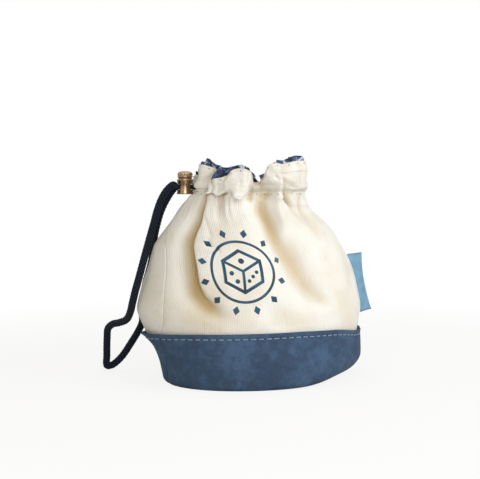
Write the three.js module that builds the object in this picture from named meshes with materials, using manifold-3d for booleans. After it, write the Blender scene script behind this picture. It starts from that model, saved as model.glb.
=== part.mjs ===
// Small drawstring dice bag: canvas body, suede band and base, loose lining, cord and cord lock.
// Millimetres, +Z up, origin under the middle of the base. Seams face -X and +X, the front faces -Y.
import * as THREE from 'three';
import Module from 'manifold-3d';

const wasm = await Module();
wasm.setup();
const DEG = Math.PI / 180;

// Driving dimensions
const BODY_W = 141.3;           // widest width, seam to seam
const BODY_D = 103;             // greatest depth
const CINCH_Z = 117.5;          // height of the cord channel
const TURN = 24 * DEG;          // the sections are described across this heading, then turned into the frame
const CANVAS = 1.2;             // cloth thicknesses
const LINING = 0.8;
const SUEDE = 1.4;
const BASE_T = 1.5;
const GAP = 0.3;                // room between two layers
const BAND_H = 34;              // band's height at the middle of the front
const BAND_OUT = 0.6;           // band's back stands this far off the plain body
const BAND_LIP = 0.5;           // band's top edge flares this much
const BAND_LOW = 0.3;
const OVERLAP = 4;              // canvas tucked behind the band
const LINING_LOW = 3.2;         // lowest edge of the lining's side panels
const LINING_UP = 1.3;          // lining stands above the rim
const EDGE_R = 3.6;             // rounding of the lower edge
const CURL_UP = 11.6;           // more of it where the base curls up at the right
const CURL_IN = 17.6;
const CURL_AT = 85;             // where the curl lies, in degrees from the front
const HEM_IN = 5;               // deepest gather that still clears the cord in the channel
const CORD_R = 2.2;             // drawcord radius
const NECK_Z = CINCH_Z + 1.5;   // the neck is plain from here up
const RING_IN = 9;              // channel cord runs this far inside the plain neck
const RING_ROOM = 0.4;          // between that cord and the lining
const EXIT_T = -82 * DEG;       // where both cord ends leave the channel
const EXIT_Z = CINCH_Z + 3.3;
const EXIT_D = 30.8;            // free loop begins this far out from the neck's middle
const EXIT_W = 10;              // opening for the two cord ends
const EXIT_H = 5.4;
const SEAM_GAP = 0.0009;        // share of a panel left free at each side seam
const LOCK_D = 40.3;            // lock axis, measured out from the neck's middle
const LOCK_Z = EXIT_Z + 0.1;
const BARREL_H = 9.3;
const BARREL_R = 5.15;          // barrel's two end flanges
const WAIST_R = 4.8;
const FLOOR_T = 0.6;            // barrel's floor
const BORE_R = 4.4;
const STEM_R = 4.25;
const STEM_LOW = -2.7;          // foot of the plunger's stem, from the lock's middle
const PRESS = 0.9;              // plunger's travel
const CAP_GAP = 0.15;           // left under the cap when it is pressed home
const SLOT_W = 7.2;             // cross slot for the cord
const SLOT_ROOM = 0.3;
const NIP_W = 1.66;             // cord's half width and half height where the lock nips it
const NIP_H = 1.46;
const NIP_AT = 1.74;            // strand's middle, to each side of the lock's axis
const SPRING_R = 2.7;           // inner radius of the wave spring
const SPRING_W = 1.4;
const SPRING_T = 0.2;
const SPRING_WAVE = 0.54;
const LABEL_LOW = 40.5;
const LABEL_HIGH = 78;
const LABEL_T = 0.7;

// smooth curve through hand set stations
function curve(xs, ys) {
  const n = xs.length;
  const h = [];
  const d = [];
  for (let i = 0; i < n - 1; i++) {
    h.push(xs[i + 1] - xs[i]);
    d.push((ys[i + 1] - ys[i]) / h[i]);
  }
  const m = new Array(n).fill(0);
  m[0] = d[0];
  m[n - 1] = d[n - 2];
  for (let i = 1; i < n - 1; i++) {
    const w1 = 2 * h[i] + h[i - 1];
    const w2 = h[i] + 2 * h[i - 1];
    if (d[i - 1] * d[i] > 0) m[i] = (w1 + w2) / (w1 / d[i - 1] + w2 / d[i]);
  }
  return (x) => {
    const c = Math.min(Math.max(x, xs[0]), xs[n - 1]);
    let k = 0;
    while (k < n - 2 && c >= xs[k + 1]) k++;
    const s = (c - xs[k]) / h[k];
    const q = 1 - s;
    return (1 + 2 * s) * q * q * ys[k] + s * q * q * h[k] * m[k]
      + s * s * (3 - 2 * s) * ys[k + 1] + s * s * (s - 1) * h[k] * m[k + 1];
  };
}
const column = (rows, k) => curve(rows.map((r) => r[0]), rows.map((r) => r[k]));
const mix = (a, b, s) => a + (b - a) * s;
const bell = (x, left, right) => Math.exp(-((x / (x < 0 ? left : right)) ** 2));
const wrap = (degrees) => ((degrees + 540) % 360) - 180;
const fromExit = (t) => Math.atan2(Math.sin(t - EXIT_T), Math.cos(t - EXIT_T));
function smooth(a, b, x) {
  const s = Math.min(Math.max((x - a) / (b - a), 0), 1);
  return s * s * (3 - 2 * s);
}

// Plain sections: height as a share of CINCH_Z, centre and width as shares of BODY_W, depth as a share
// of BODY_D, and how far the oval leans
const LEVELS = [
  [0, .0071, .849, .942, .265], [.102, .0028, .876, .971, .245], [.187, -.0149, .911, .99, .222],
  [.255, -.0336, .945, 1, .207], [.323, -.0442, .98, 1, .195], [.383, -.0506, 1, 1, .187],
  [.477, -.0502, .972, .981, .17], [.57, -.0488, .93, .942, .156], [.681, -.0548, .864, .883, .146],
  [.774, -.0648, .793, .825, .127], [.834, -.0679, .719, .777, .098], [.902, -.0771, .61, .728, .061],
  [.97, -.0686, .535, .689, .037], [1.013, -.0566, .5025, .66, 0], [1.234, -.0566, .5025, .66, 0],
];
const [levelX, levelW, levelD, levelLean] = [1, 2, 3, 4].map((k) => column(LEVELS, k));
const centreX = (z) => BODY_W * levelX(z / CINCH_Z);
const seamLeft = curve([0, 30, 45, 71, 95, 119], [-65.6, -57, -52, -56, -66, -80]);
const seamRight = curve([0, 30, 60, 119], [104, 96, 92, 92]);
const bandRise = curve([-180, -120, -90, -60, -30, 30, 60, 90, 120, 180], [0, -3, -4.5, -1.5, .5, 1, 0, -3.5, -3, 0]);
const bandTop = (t) => BAND_H + bandRise(wrap(t / DEG));

function plainR(t, z) {
  const w = BODY_W / 2 * levelW(z / CINCH_Z);
  const d = BODY_D / 2 * levelD(z / CINCH_Z);
  const lean = levelLean(z / CINCH_Z);
  const dx = Math.sin(t) / w;
  const dy = -Math.cos(t) / d;
  return Math.sqrt((1 - lean * lean) / (dx * dx - 2 * lean * dx * dy + dy * dy));
}
// from the heading of the sections to the frame
function turned(x, y, z) {
  return [x * Math.cos(TURN) + y * Math.sin(TURN), -x * Math.sin(TURN) + y * Math.cos(TURN), z];
}
function place(t, r, z) {
  return turned(centreX(z) + r * Math.sin(t), -r * Math.cos(t), z);
}
function angleAt(side, u, z) {
  const l = seamLeft(z);
  const r = seamRight(z);
  return (side === 'front' ? mix(l, r, u) : mix(r, l + 360, u)) * DEG;
}
// height and angle at share s between a low edge and the band's top
function besideBand(side, u, s, low, drop) {
  const z = mix(low, bandTop(angleAt(side, u, BAND_H)) - drop, s);
  return { z, t: angleAt(side, u, z) };
}

// Folds: height, place across the panel, depth (+ inwards), reach left, reach right
const FRONT_FOLDS = [
  [[42, .2, 0, .064, .06], [50, .165, 4.5, .064, .05], [57, .128, 7.5, .07, .03], [65, .115, 10, .07, .018],
    [76, .111, 12.5, .065, .015], [84, .116, 13, .055, .013], [93, .144, 12, .048, .013], [104, .182, 9.5, .037, .015],
    [112, .193, 7, .03, .017], [117.5, .175, 4.6, .024, .02]],
  [[96, .295, 0, .032, .032], [102, .295, 1.2, .032, .032], [110, .299, 3, .023, .026], [117.5, .302, 3.5, .023, .023]],
  [[46, .76, 0, .107, .064], [53, .713, 3, .107, .07], [63.5, .617, 5, .09, .08], [73, .565, 6, .07, .075],
    [83, .548, 7, .06, .06], [92.5, .552, 7.5, .06, .05], [105, .565, 7, .065, .034], [117.5, .56, 4.6, .06, .03]],
  [[35, .509, 0, .064, .096], [40, .5, 1.5, .064, .096], [46, .491, 2.2, .064, .096], [56, .481, 0, .064, .086]],
  [[78, .616, 0, .032, .042], [85, .614, -1, .032, .042], [95, .622, -2.5, .026, .032], [110, .64, -2.5, .023, .023],
    [117.5, .635, -1, .021, .021]],
  [[96, .791, 0, .032, .032], [102, .779, 1.5, .032, .032], [110, .745, 3.5, .021, .031], [117.5, .686, 4, .021, .026]],
  [[88, .814, 0, .042, .042], [99, .822, 2.2, .042, .042], [108, .84, 3.5, .037, .037], [117.5, .874, 3.8, .031, .031]],
  [[36, 0, 0, .021, .013], [41, 0, 2, .021, .013], [50, 0, 0, .021, .013]],
];
// back: place at the cinch, place low down, greatest depth, height where it ends
const BACK_GATHERS = [
  [.05, .07, 5, 72], [.16, .19, 8, 58], [.27, .29, 5, 80], [.38, .37, 9, 52], [.5, .5, 5, 78], [.61, .6, 8, 60],
  [.72, .7, 5, 74], [.83, .8, 8, 62], [.94, .92, 4, 84],
];
const BACK_FOLDS = BACK_GATHERS.map(([top, low, deep, end]) => [
  [end, low, 0, .06, .06],
  [mix(end, CINCH_Z, .35), mix(low, top, .35), deep * .8, .05, .05],
  [mix(end, CINCH_Z, .7), mix(low, top, .7), deep, .035, .035],
  [CINCH_Z, top, 4.2, .028, .028],
]);
const readFold = (rows) => ({
  end: rows[0][0], at: column(rows, 1), deep: column(rows, 2), left: column(rows, 3), right: column(rows, 4),
});
const FOLDS = { front: FRONT_FOLDS.map(readFold), back: BACK_FOLDS.map(readFold) };
function foldIn(side, u, z) {
  let total = 0;
  for (const f of FOLDS[side]) {
    if (z > f.end) total += f.deep(z) * bell(u - f.at(z), f.left(z), f.right(z));
  }
  return total;
}

// Header above the channel: place, offset from the plain neck at the rim, rim height above the channel
const RIM = {
  front: [
    [0, -5, 12.5], [.063, -3.5, 17], [.126, -.5, 17.2], [.173, -3, 16], [.215, -7, 13.5], [.239, 4, 7.1],
    [.27, 6, 8.5], [.314, 4.6, 9.1], [.345, 2, 10.5], [.373, 3, 13.5], [.411, 5, 14.5], [.45, 6, 13.9],
    [.476, 5, 12], [.488, 3.5, 10], [.498, 0, 6.6], [.512, -3.5, 6.3], [.536, -3.5, 6.4], [.544, 0, 8],
    [.551, 4, 12.5], [.567, 6, 16.6], [.59, 6.3, 17.6], [.62, 5.6, 17.6], [.645, 3, 17.3],
    [.672, .5, 17.2], [.7, 1.2, 18], [.73, 3.2, 18.9], [.77, 2.6, 19.3], [.8, 1.6, 19.5],
    [.837, 3.4, 19.5], [.9, 1, 19.9], [.963, -1, 20.1], [1, 0, 20.5],
  ],
  back: [
    [0, 0, 20.5], [.05, -3.5, 21.5], [.1, 3, 22.5], [.16, -2, 22], [.22, 4, 20.5], [.28, -3, 18.5],
    [.33, 2, 11.5], [.38, -3.5, 5.9], [.43, 2.5, 9.5], [.48, -2.5, 14], [.515, 1, 16.2], [.565, 3, 15.6],
    [.618, -2, 14.6], [.645, 0, 15], [.692, 4, 18], [.732, -1, 20.4], [.757, -3, 17.4], [.782, 2, 18.4],
    [.82, 1, 15.5], [.85, -4.5, 11.5], [.91, 0, 10.5], [.96, -4, 11], [1, -5, 12.5],
  ],
};
const rimOff = { front: column(RIM.front, 1), back: column(RIM.back, 1) };
const rimUp = { front: column(RIM.front, 2), back: column(RIM.back, 2) };

// the cloth is pressed in where the lock rests on it
function besideLock(t, z, off) {
  const level = smooth(CINCH_Z - 11.5, CINCH_Z - 3.5, z) * (1 - smooth(CINCH_Z + 9.5, CINCH_Z + 14.5, z));
  const near = Math.min(1, 2 * bell(fromExit(t), .24, .24)) * level;
  return Math.min(off, mix(6, -2.2, near));
}
// outer face of the canvas; s from 0 behind the band to 1 at the cinch, then to 2 at the rim
function canvas(side, u, s) {
  if (s <= 1) {
    const low = bandTop(angleAt(side, u, BAND_H)) - OVERLAP;
    const z = mix(low, CINCH_Z, s);
    const t = angleAt(side, u, z);
    const fold = -foldIn(side, u, z);
    const off = z > CINCH_Z - 5.5 ? Math.max(fold, -HEM_IN) : fold;
    return { t, z, r: plainR(t, z) + besideLock(t, z, off) };
  }
  const h = s - 1;
  const z = CINCH_Z + h * rimUp[side](u);
  const t = angleAt(side, u, z);
  const neck = Math.max(-foldIn(side, u, CINCH_Z), -HEM_IN);
  const swell = 1.6 * Math.sin(Math.PI * h) * (h < 0.5 ? 1 : 0.6);
  const off = besideLock(t, z, mix(neck, rimOff[side](u), smooth(-0.1, 0.75, h)) + swell);
  return { t, z, r: plainR(t, z) + (z < CINCH_Z + 6.9 ? Math.max(off, -HEM_IN) : off) };
}
const ringR = (t) => plainR(t, NECK_Z) - RING_IN;
const ringZ = (t) => CINCH_Z + (EXIT_Z - CINCH_Z) * bell(fromExit(t), 0.4, 0.4);
// outer face of the lining: close behind the canvas, but inside the cord along the channel
function liningR(t, z, r) {
  const up = z - ringZ(t);
  const near = bell(fromExit(t), .6, .6);
  const inside = up > 0 ? 1 - smooth(3.3 + 1.3 * near, 5.6 + 2 * near, up) : 1 - smooth(3.6, 10, -up);
  const close = r - CANVAS - GAP - (z > NECK_Z ? .2 : 0);
  return mix(close, Math.min(close, ringR(t) - CORD_R - RING_ROOM), inside);
}
// rounding of the lower edge, higher and wider at the right where the base curls up
function tuck(t, z) {
  const curl = bell(wrap(t / DEG) - CURL_AT, 35, 45);
  const tall = EDGE_R + CURL_UP * curl;
  const wide = EDGE_R + CURL_IN * curl;
  const q = Math.max(1 - z / tall, 0);
  return wide * (1 - Math.sqrt(1 - q * q));
}
const bandR = (t, z) => plainR(t, z) + BAND_OUT + SUEDE - tuck(t, z);

// Mesh helpers
function volumeOf(points, index) {
  let total = 0;
  const [a, b, c] = [new THREE.Vector3(), new THREE.Vector3(), new THREE.Vector3()];
  for (let i = 0; i < index.length; i += 3) {
    a.fromArray(points, 3 * index[i]);
    b.fromArray(points, 3 * index[i + 1]);
    c.fromArray(points, 3 * index[i + 2]);
    total += a.dot(b.cross(c));
  }
  return total;
}
function facedOut(points, index) {
  if (volumeOf(points, index) > 0) return index;
  return index.map((v, i) => index[i % 3 === 0 ? i : i % 3 === 1 ? i + 1 : i - 1]);
}
function indexed(points, index) {
  const g = new THREE.BufferGeometry();
  g.setAttribute('position', new THREE.Float32BufferAttribute(points, 3));
  g.setIndex(facedOut(points, index));
  return g;
}
function solid(points, faces) {
  const index = faces.flatMap((f) => (f.length > 3 ? [f[0], f[1], f[2], f[0], f[2], f[3]] : f));
  return indexed(points.flat(), index);
}
// a cloth panel: outer and inner grids joined along all four edges
function panel(across, rows, outer, inner) {
  const up = rows.length;
  const id = (face, i, j) => (face * up + j) * across + i;
  const points = [];
  for (const face of [outer, inner]) {
    for (const s of rows) {
      for (let i = 0; i < across; i++) points.push(face(i, s));
    }
  }
  const quads = [];
  for (let j = 0; j < up - 1; j++) {
    for (let i = 0; i < across - 1; i++) {
      quads.push([id(0, i, j), id(0, i + 1, j), id(0, i + 1, j + 1), id(0, i, j + 1)]);
      quads.push([id(1, i, j), id(1, i, j + 1), id(1, i + 1, j + 1), id(1, i + 1, j)]);
    }
    quads.push([id(0, 0, j), id(0, 0, j + 1), id(1, 0, j + 1), id(1, 0, j)]);
    quads.push([id(0, across - 1, j + 1), id(0, across - 1, j), id(1, across - 1, j), id(1, across - 1, j + 1)]);
  }
  for (let i = 0; i < across - 1; i++) {
    quads.push([id(0, i + 1, 0), id(0, i, 0), id(1, i, 0), id(1, i + 1, 0)]);
    quads.push([id(0, i, up - 1), id(0, i + 1, up - 1), id(1, i + 1, up - 1), id(1, i, up - 1)]);
  }
  return solid(points, quads);
}
// shared vertices merged, so that the library can cut it
function toSolid(g) {
  const p = g.attributes.position;
  const seen = new Map();
  const points = [];
  const corner = [];
  const count = g.index ? g.index.count : p.count;
  for (let i = 0; i < count; i++) {
    const v = g.index ? g.index.getX(i) : i;
    const key = [p.getX(v), p.getY(v), p.getZ(v)].map((c) => Math.round(c * 1e4)).join();
    if (!seen.has(key)) {
      seen.set(key, points.length / 3);
      points.push(p.getX(v), p.getY(v), p.getZ(v));
    }
    corner.push(seen.get(key));
  }
  const index = [];
  for (let i = 0; i < count; i += 3) {
    const [a, b, c] = corner.slice(i, i + 3);
    if (a !== b && b !== c && a !== c) index.push(a, b, c);
  }
  return new wasm.Manifold(new wasm.Mesh({
    numProp: 3, vertProperties: Float32Array.from(points), triVerts: Uint32Array.from(facedOut(points, index)),
  }));
}
function fromSolid(body) {
  const mesh = body.getMesh();
  return indexed(Array.from(mesh.vertProperties), Array.from(mesh.triVerts));
}

// Materials
const MAT = {
  canvas: new THREE.MeshStandardMaterial({ color: 0xeee8da, roughness: 0.95 }),
  lining: new THREE.MeshStandardMaterial({ color: 0x2c3a55, roughness: 0.9 }),
  suede: new THREE.MeshStandardMaterial({ color: 0x52688a, roughness: 0.95 }),
  cord: new THREE.MeshStandardMaterial({ color: 0x1b222d, roughness: 0.9 }),
  label: new THREE.MeshStandardMaterial({ color: 0x4f86a8, roughness: 0.8 }),
  metal: new THREE.MeshStandardMaterial({ color: 0xb98f66, metalness: 1, roughness: 0.35 }),
  steel: new THREE.MeshStandardMaterial({ color: 0xb5b8bc, metalness: 1, roughness: 0.35 }),
};
const group = new THREE.Group();
function add(name, geometry, material) {
  const mesh = new THREE.Mesh(geometry, MAT[material]);
  mesh.name = name;
  geometry.computeVertexNormals();
  group.add(mesh);
}

// Line along which the cord leaves the neck
const exitDir = [Math.sin(EXIT_T), -Math.cos(EXIT_T)];
const exitAngle = Math.atan2(exitDir[1], exitDir[0]) - TURN;
function alongExit(d, across, z) {
  return turned(centreX(NECK_Z) + d * exitDir[0] - across * exitDir[1], d * exitDir[1] + across * exitDir[0], z);
}
function blockAcross(middle, length, width, height) {
  const g = new THREE.BoxGeometry(length, width, height);
  g.rotateZ(exitAngle);
  g.translate(...middle);
  return toSolid(g);
}

// Canvas and lining panels
const COLS = {
  front: [0, .026, .058, .089, .113, .132, .147, .16, .175, .194, .215, .228, .243, .269, .301, .333, .366, .408,
    .45, .481, .505, .525, .541, .56, .586, .617, .64, .665, .688, .712, .738, .769, .806, .848, .89, .931, .968, 1],
  back: [0, .03, .055, .09, .13, .165, .205, .25, .29, .335, .38, .42, .46, .5, .54, .58, .615, .66, .715, .76, .8,
    .84, .88, .925, .965, 1],
};
const BODY_ROWS = [0, .08, .2, .33, .47, .6, .72, .83, .92, .966, 1];
const HEAD_ROWS = [1.17, 1.42, 1.7, 2];
const LINING_ROWS = [-1, -.8, -.5];
const acrossPanel = (u) => Math.min(Math.max(u, SEAM_GAP), 1 - SEAM_GAP);
const exitCut = blockAcross(alongExit(EXIT_D + 2.2, 0, EXIT_Z), 14, EXIT_W, EXIT_H);

function canvasPanel(side) {
  const at = (i, s, depth) => {
    const c = canvas(side, acrossPanel(COLS[side][i]), s);
    return place(c.t, c.r - depth, c.z);
  };
  const rows = [...BODY_ROWS, ...HEAD_ROWS];
  const cloth = panel(COLS[side].length, rows, (i, s) => at(i, s, 0), (i, s) => at(i, s, CANVAS));
  return fromSolid(toSolid(cloth).subtract(exitCut));
}
function liningPanel(side) {
  const at = (i, s, depth) => {
    const u = acrossPanel(COLS[side][i]);
    if (s < 0) {
      const { z, t } = besideBand(side, u, 1 + s, LINING_LOW, OVERLAP);
      return place(t, liningR(t, z, plainR(t, z) - tuck(t, z)) - depth, z);
    }
    const c = canvas(side, u, s);
    const z = c.z + LINING_UP * smooth(1.5, 2, s);
    return place(c.t, liningR(c.t, z, c.r) - depth, z);
  };
  const rows = [...LINING_ROWS, ...BODY_ROWS, ...HEAD_ROWS];
  return panel(COLS[side].length, rows, (i, s) => at(i, s, 0), (i, s) => at(i, s, LINING));
}
for (const side of ['front', 'back']) {
  add('canvas_' + side, canvasPanel(side), 'canvas');
  add('lining_' + side, liningPanel(side), 'lining');
}

// Suede band, base and inner base
const BAND_ROWS = [0, .04, .1, .19, .32, .55, .88, 1];
const BAND_COLS = { front: 34, back: 24 };
function bandPanel(side) {
  const at = (i, s, depth) => {
    const { z, t } = besideBand(side, acrossPanel(i / (BAND_COLS[side] - 1)), s, BAND_LOW, 0);
    const flare = depth > 0 ? 0 : BAND_LIP * smooth(.9, 1, s);
    return place(t, bandR(t, z) + flare - depth, z);
  };
  return panel(BAND_COLS[side], BAND_ROWS, (i, s) => at(i, s, 0), (i, s) => at(i, s, SUEDE));
}
for (const side of ['front', 'back']) add('band_' + side, bandPanel(side), 'suede');

// a flat round inside the band's lower edge
function round(low, thick, inset) {
  const edge = [];
  const count = 72;
  for (let i = 0; i < count; i++) {
    const t = 2 * Math.PI * i / count;
    const level = Math.max(low, BAND_LOW);
    const [x, y] = place(t, bandR(t, level) - SUEDE - inset, 0);
    edge.push(new THREE.Vector2(x, y));
  }
  const g = new THREE.ExtrudeGeometry(new THREE.Shape(edge), { depth: thick, bevelEnabled: false });
  g.translate(0, 0, low);
  return g;
}
add('suede_base', round(0, BASE_T, GAP), 'suede');
add('lining_base', round(BASE_T + GAP, LINING, GAP + CANVAS), 'lining');

// Cord: a tube with eight sides along chosen points
const CORD_SIDES = 8;
const cordSection = new THREE.Shape(Array.from({ length: CORD_SIDES }, (_, k) => {
  const a = 2 * Math.PI * (k + 0.5) / CORD_SIDES;
  return new THREE.Vector2(CORD_R * Math.cos(a), CORD_R * Math.sin(a));
}));
function tube(points, steps) {
  const path = new THREE.CatmullRomCurve3(points.map((p) => new THREE.Vector3(...p)), false, 'centripetal');
  return new THREE.ExtrudeGeometry(cordSection, { steps, bevelEnabled: false, extrudePath: path });
}
function channelCord() {
  const lead = (side) => [[EXIT_D - GAP, 2.5], [EXIT_D - 2.3, 3.1], [EXIT_D - 3.6, 4.9]]
    .map(([d, across]) => alongExit(d, side * across, EXIT_Z));
  const ring = [];
  const count = 34;
  for (let i = 0; i <= count; i++) {
    const t = EXIT_T + mix(15 * DEG, 345 * DEG, i / count);
    ring.push(place(t, ringR(t), ringZ(t)));
  }
  return tube([...lead(1), ...ring, ...lead(-1).reverse()], 60);
}
add('drawcord_channel', channelCord(), 'cord');

// Cord lock: barrel, plunger with a cross slot, wave spring under it
const lockAt = alongExit(LOCK_D, 0, LOCK_Z);
function lathe(profile) {
  const g = new THREE.LatheGeometry(profile.map(([r, z]) => new THREE.Vector2(r, z)), 30);
  g.rotateX(Math.PI / 2);
  g.translate(...lockAt);
  return toSolid(g);
}
function crossSlot(low, high) {
  const middle = [lockAt[0], lockAt[1], lockAt[2] + (low + high) / 2];
  return blockAcross(middle, 16, SLOT_W, high - low);
}
const barrelTop = BARREL_H / 2;
const slotLow = EXIT_Z - LOCK_Z - NIP_H - SLOT_ROOM;
const slotHigh = EXIT_Z - LOCK_Z + NIP_H + SLOT_ROOM;
const capLow = barrelTop + PRESS + CAP_GAP;
const barrel = lathe([
  [0, -barrelTop], [BARREL_R - .2, -barrelTop], [BARREL_R, -barrelTop + .25], [BARREL_R, -barrelTop + .9],
  [WAIST_R + .1, -barrelTop + 1.5], [WAIST_R, 0], [WAIST_R + .1, barrelTop - 1.5], [BARREL_R, barrelTop - .9],
  [BARREL_R, barrelTop - .25], [BARREL_R - .2, barrelTop], [BORE_R, barrelTop], [BORE_R, -barrelTop + FLOOR_T],
  [0, -barrelTop + FLOOR_T],
]);
const plunger = lathe([
  [0, STEM_LOW], [STEM_R, STEM_LOW], [STEM_R, capLow], [4.5, capLow], [4.8, capLow + .4], [4.8, capLow + .95],
  [4.5, capLow + 1.2], [4.5, capLow + 1.4], [4.78, capLow + 1.65], [4.7, capLow + 2.6], [4.1, capLow + 3.4],
  [2.6, capLow + 4], [0, capLow + 4.2],
]);
add('lock_barrel', fromSolid(barrel.subtract(crossSlot(slotLow, slotHigh))), 'metal');
add('lock_plunger', fromSolid(plunger.subtract(crossSlot(slotLow + .05, slotHigh + PRESS - .1))), 'metal');

function waveSpring() {
  const count = 36;
  const middle = (STEM_LOW - barrelTop + FLOOR_T) / 2;
  const outer = SPRING_R + SPRING_W;
  const section = [[SPRING_R, -1], [outer, -1], [outer, 1], [SPRING_R, 1]];
  const points = [];
  const quads = [];
  section.forEach(([r, end], k) => {
    for (let i = 0; i < count; i++) {
      const a = 2 * Math.PI * i / count;
      const up = middle + SPRING_WAVE * Math.cos(3 * a) + end * SPRING_T / 2;
      points.push([lockAt[0] + r * Math.cos(a), lockAt[1] + r * Math.sin(a), lockAt[2] + up]);
      const j = (i + 1) % count;
      const next = (k + 1) % section.length;
      quads.push([k * count + i, k * count + j, next * count + j, next * count + i]);
    }
  });
  return solid(points, quads);
}
add('lock_spring', waveSpring(), 'steel');

// Free loop of the cord, points in the heading of the sections
const LOOP = [
  [-54.9, -9.5, 122.1], [-58.6, -9.5, 119.2], [-62.2, -9.5, 113.6], [-65, -9.6, 106.4], [-67.1, -10.5, 98.4],
  [-69.2, -13, 90.4], [-71.2, -17, 82.2], [-73.2, -20.5, 73.9], [-75.4, -23, 65.1], [-77.6, -23.5, 57.2],
  [-79.7, -20, 49.7], [-82, -13, 42.6], [-85.4, -5, 37], [-90.4, 1, 34.4], [-95.6, 6, 32.6], [-98.9, 9.5, 29.2],
  [-99.8, 12, 23.1], [-100.6, 16, 11], [-100.9, 20, 3.4], [-97.9, 20.6, 3.6], [-91.8, 19, 8.8], [-86.1, 18, 16.8],
  [-77.8, 19.5, 31.9], [-77.8, 20.5, 38.6], [-77.2, 19.5, 48], [-74.9, 17, 58.5], [-71.4, 14, 70.5],
  [-68.9, 9, 82.7], [-67.9, 3, 90], [-65.9, -1, 97.5], [-63.4, -3.5, 105.3], [-59.5, -4.6, 113.3], [-55.2, -4.6, 119.4],
];
// the strands are flatter and narrower inside the lock
function nipped(g) {
  const p = g.attributes.position;
  const [ox, oy] = alongExit(0, 0, 0);
  for (let i = 0; i < p.count; i++) {
    const x = p.getX(i) - ox;
    const y = p.getY(i) - oy;
    const d = x * Math.cos(exitAngle) + y * Math.sin(exitAngle);
    const across = -x * Math.sin(exitAngle) + y * Math.cos(exitAngle);
    const up = p.getZ(i) - EXIT_Z;
    const inLock = Math.abs(up) > 6 ? 0 : smooth(EXIT_D, EXIT_D + 3, d) * (1 - smooth(LOCK_D + 5, LOCK_D + 8, d));
    const middle = NIP_AT * Math.sign(across);
    const sideways = (across - middle) * (mix(1, NIP_W / CORD_R, inLock) - 1);
    p.setX(i, p.getX(i) - sideways * Math.sin(exitAngle));
    p.setY(i, p.getY(i) + sideways * Math.cos(exitAngle));
    p.setZ(i, EXIT_Z + up * mix(1, NIP_H / CORD_R, inLock));
  }
  return g;
}
function freeLoop() {
  const points = [
    alongExit(EXIT_D, 2.5, EXIT_Z), alongExit(35.3, NIP_AT, EXIT_Z), alongExit(44.4, NIP_AT, EXIT_Z),
    alongExit(46.6, 2.2, EXIT_Z + .5), ...LOOP.map((p) => turned(...p)),
    alongExit(44.6, -NIP_AT, EXIT_Z), alongExit(35.3, -NIP_AT, EXIT_Z), alongExit(EXIT_D, -2.5, EXIT_Z),
  ];
  return fromSolid(toSolid(nipped(tube(points, 78))));
}
add('drawcord_loop', freeLoop(), 'cord');

// Woven label in the right seam: it starts on the canvas and its free edge flares at the foot
function wovenLabel() {
  const rows = [0, .25, .5, .75, 1];
  const across = 4;
  const at = (i, s, back) => {
    const z = mix(LABEL_LOW, LABEL_HIGH, s);
    const t = seamRight(z) * DEG;
    const r = plainR(t, z) + .45;
    const x = centreX(z) + r * Math.sin(t);
    const y = -r * Math.cos(t);
    const w = i / (across - 1);
    const free = 64.2 + 6.8 * (1 - s) ** 2;
    const bow = .8 * Math.sin(Math.PI * w) + 2.5 * w;
    return turned(mix(x, free, w), y + bow + back * LABEL_T, z + mix(1.9, 1.1, s) * w);
  };
  return panel(across, rows, (i, s) => at(i, s, 0), (i, s) => at(i, s, 1));
}
add('woven_label', wovenLabel(), 'label');

export default group;
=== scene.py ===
"""Drawstring dice pouch in gathered canvas with a suede band, loose lining, cord and sprung cord lock."""
import math

import bpy
import numpy as np
from bpy.props import FloatProperty, FloatVectorProperty, IntProperty, PointerProperty
from mathutils import Euler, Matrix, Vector


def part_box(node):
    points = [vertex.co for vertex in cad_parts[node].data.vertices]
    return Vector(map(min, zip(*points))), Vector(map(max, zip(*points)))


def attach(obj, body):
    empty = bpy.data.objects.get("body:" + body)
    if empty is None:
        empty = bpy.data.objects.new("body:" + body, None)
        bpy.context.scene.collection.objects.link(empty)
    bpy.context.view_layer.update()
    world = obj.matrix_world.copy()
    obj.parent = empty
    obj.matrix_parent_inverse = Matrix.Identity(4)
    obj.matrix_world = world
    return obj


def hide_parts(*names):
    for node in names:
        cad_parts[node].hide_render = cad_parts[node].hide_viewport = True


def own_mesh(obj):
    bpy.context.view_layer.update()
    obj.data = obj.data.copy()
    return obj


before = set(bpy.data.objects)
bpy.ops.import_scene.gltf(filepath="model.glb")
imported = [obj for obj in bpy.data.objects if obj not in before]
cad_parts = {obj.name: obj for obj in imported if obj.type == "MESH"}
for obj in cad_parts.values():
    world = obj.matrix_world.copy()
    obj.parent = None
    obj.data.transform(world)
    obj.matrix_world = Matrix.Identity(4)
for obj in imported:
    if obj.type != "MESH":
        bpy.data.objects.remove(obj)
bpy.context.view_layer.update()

bl_info = {
    "name": "Drawstring Pouch",
    "version": (1, 0, 0),
    "blender": (4, 5, 0),
    "location": "View3D > Sidebar > Pouch",
    "description": "Builds a small gathered drawstring pouch with its cord lock",
    "category": "Add Mesh",
}

# sizes below are in millimetres, and MM turns them into metres when a mesh is made
MM = 0.001
DEG = math.pi / 180
BODY_W = 141.3           # widest width, seam to seam
BODY_D = 103             # greatest depth
CINCH_Z = 117.5          # height of the cord channel
TURN = 24 * DEG          # heading that the cross sections are described in
CANVAS = 1.2
LINING = 0.8
SUEDE = 1.4
BASE_T = 1.5
GAP = 0.3                # room between two layers
BAND_H = 34              # band's height at the middle of the front
BAND_OUT = 0.6           # band's back stands this far off the plain body
BAND_LOW = 0.3
OVERLAP = 4              # canvas tucked behind the band
LINING_LOW = 3.2         # lowest edge of the lining's side panels
EDGE_R = 3.6             # rounding of the lower edge
CURL_UP = 11.6           # more of it where the base curls up at the right
CURL_IN = 17.6
CURL_AT = 85             # where the curl lies, in degrees from the front
HEM_IN = 5               # deepest gather that still clears the cord in the channel
CORD_R = 2.2
NECK_Z = CINCH_Z + 1.5   # the neck is plain from here up
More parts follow.
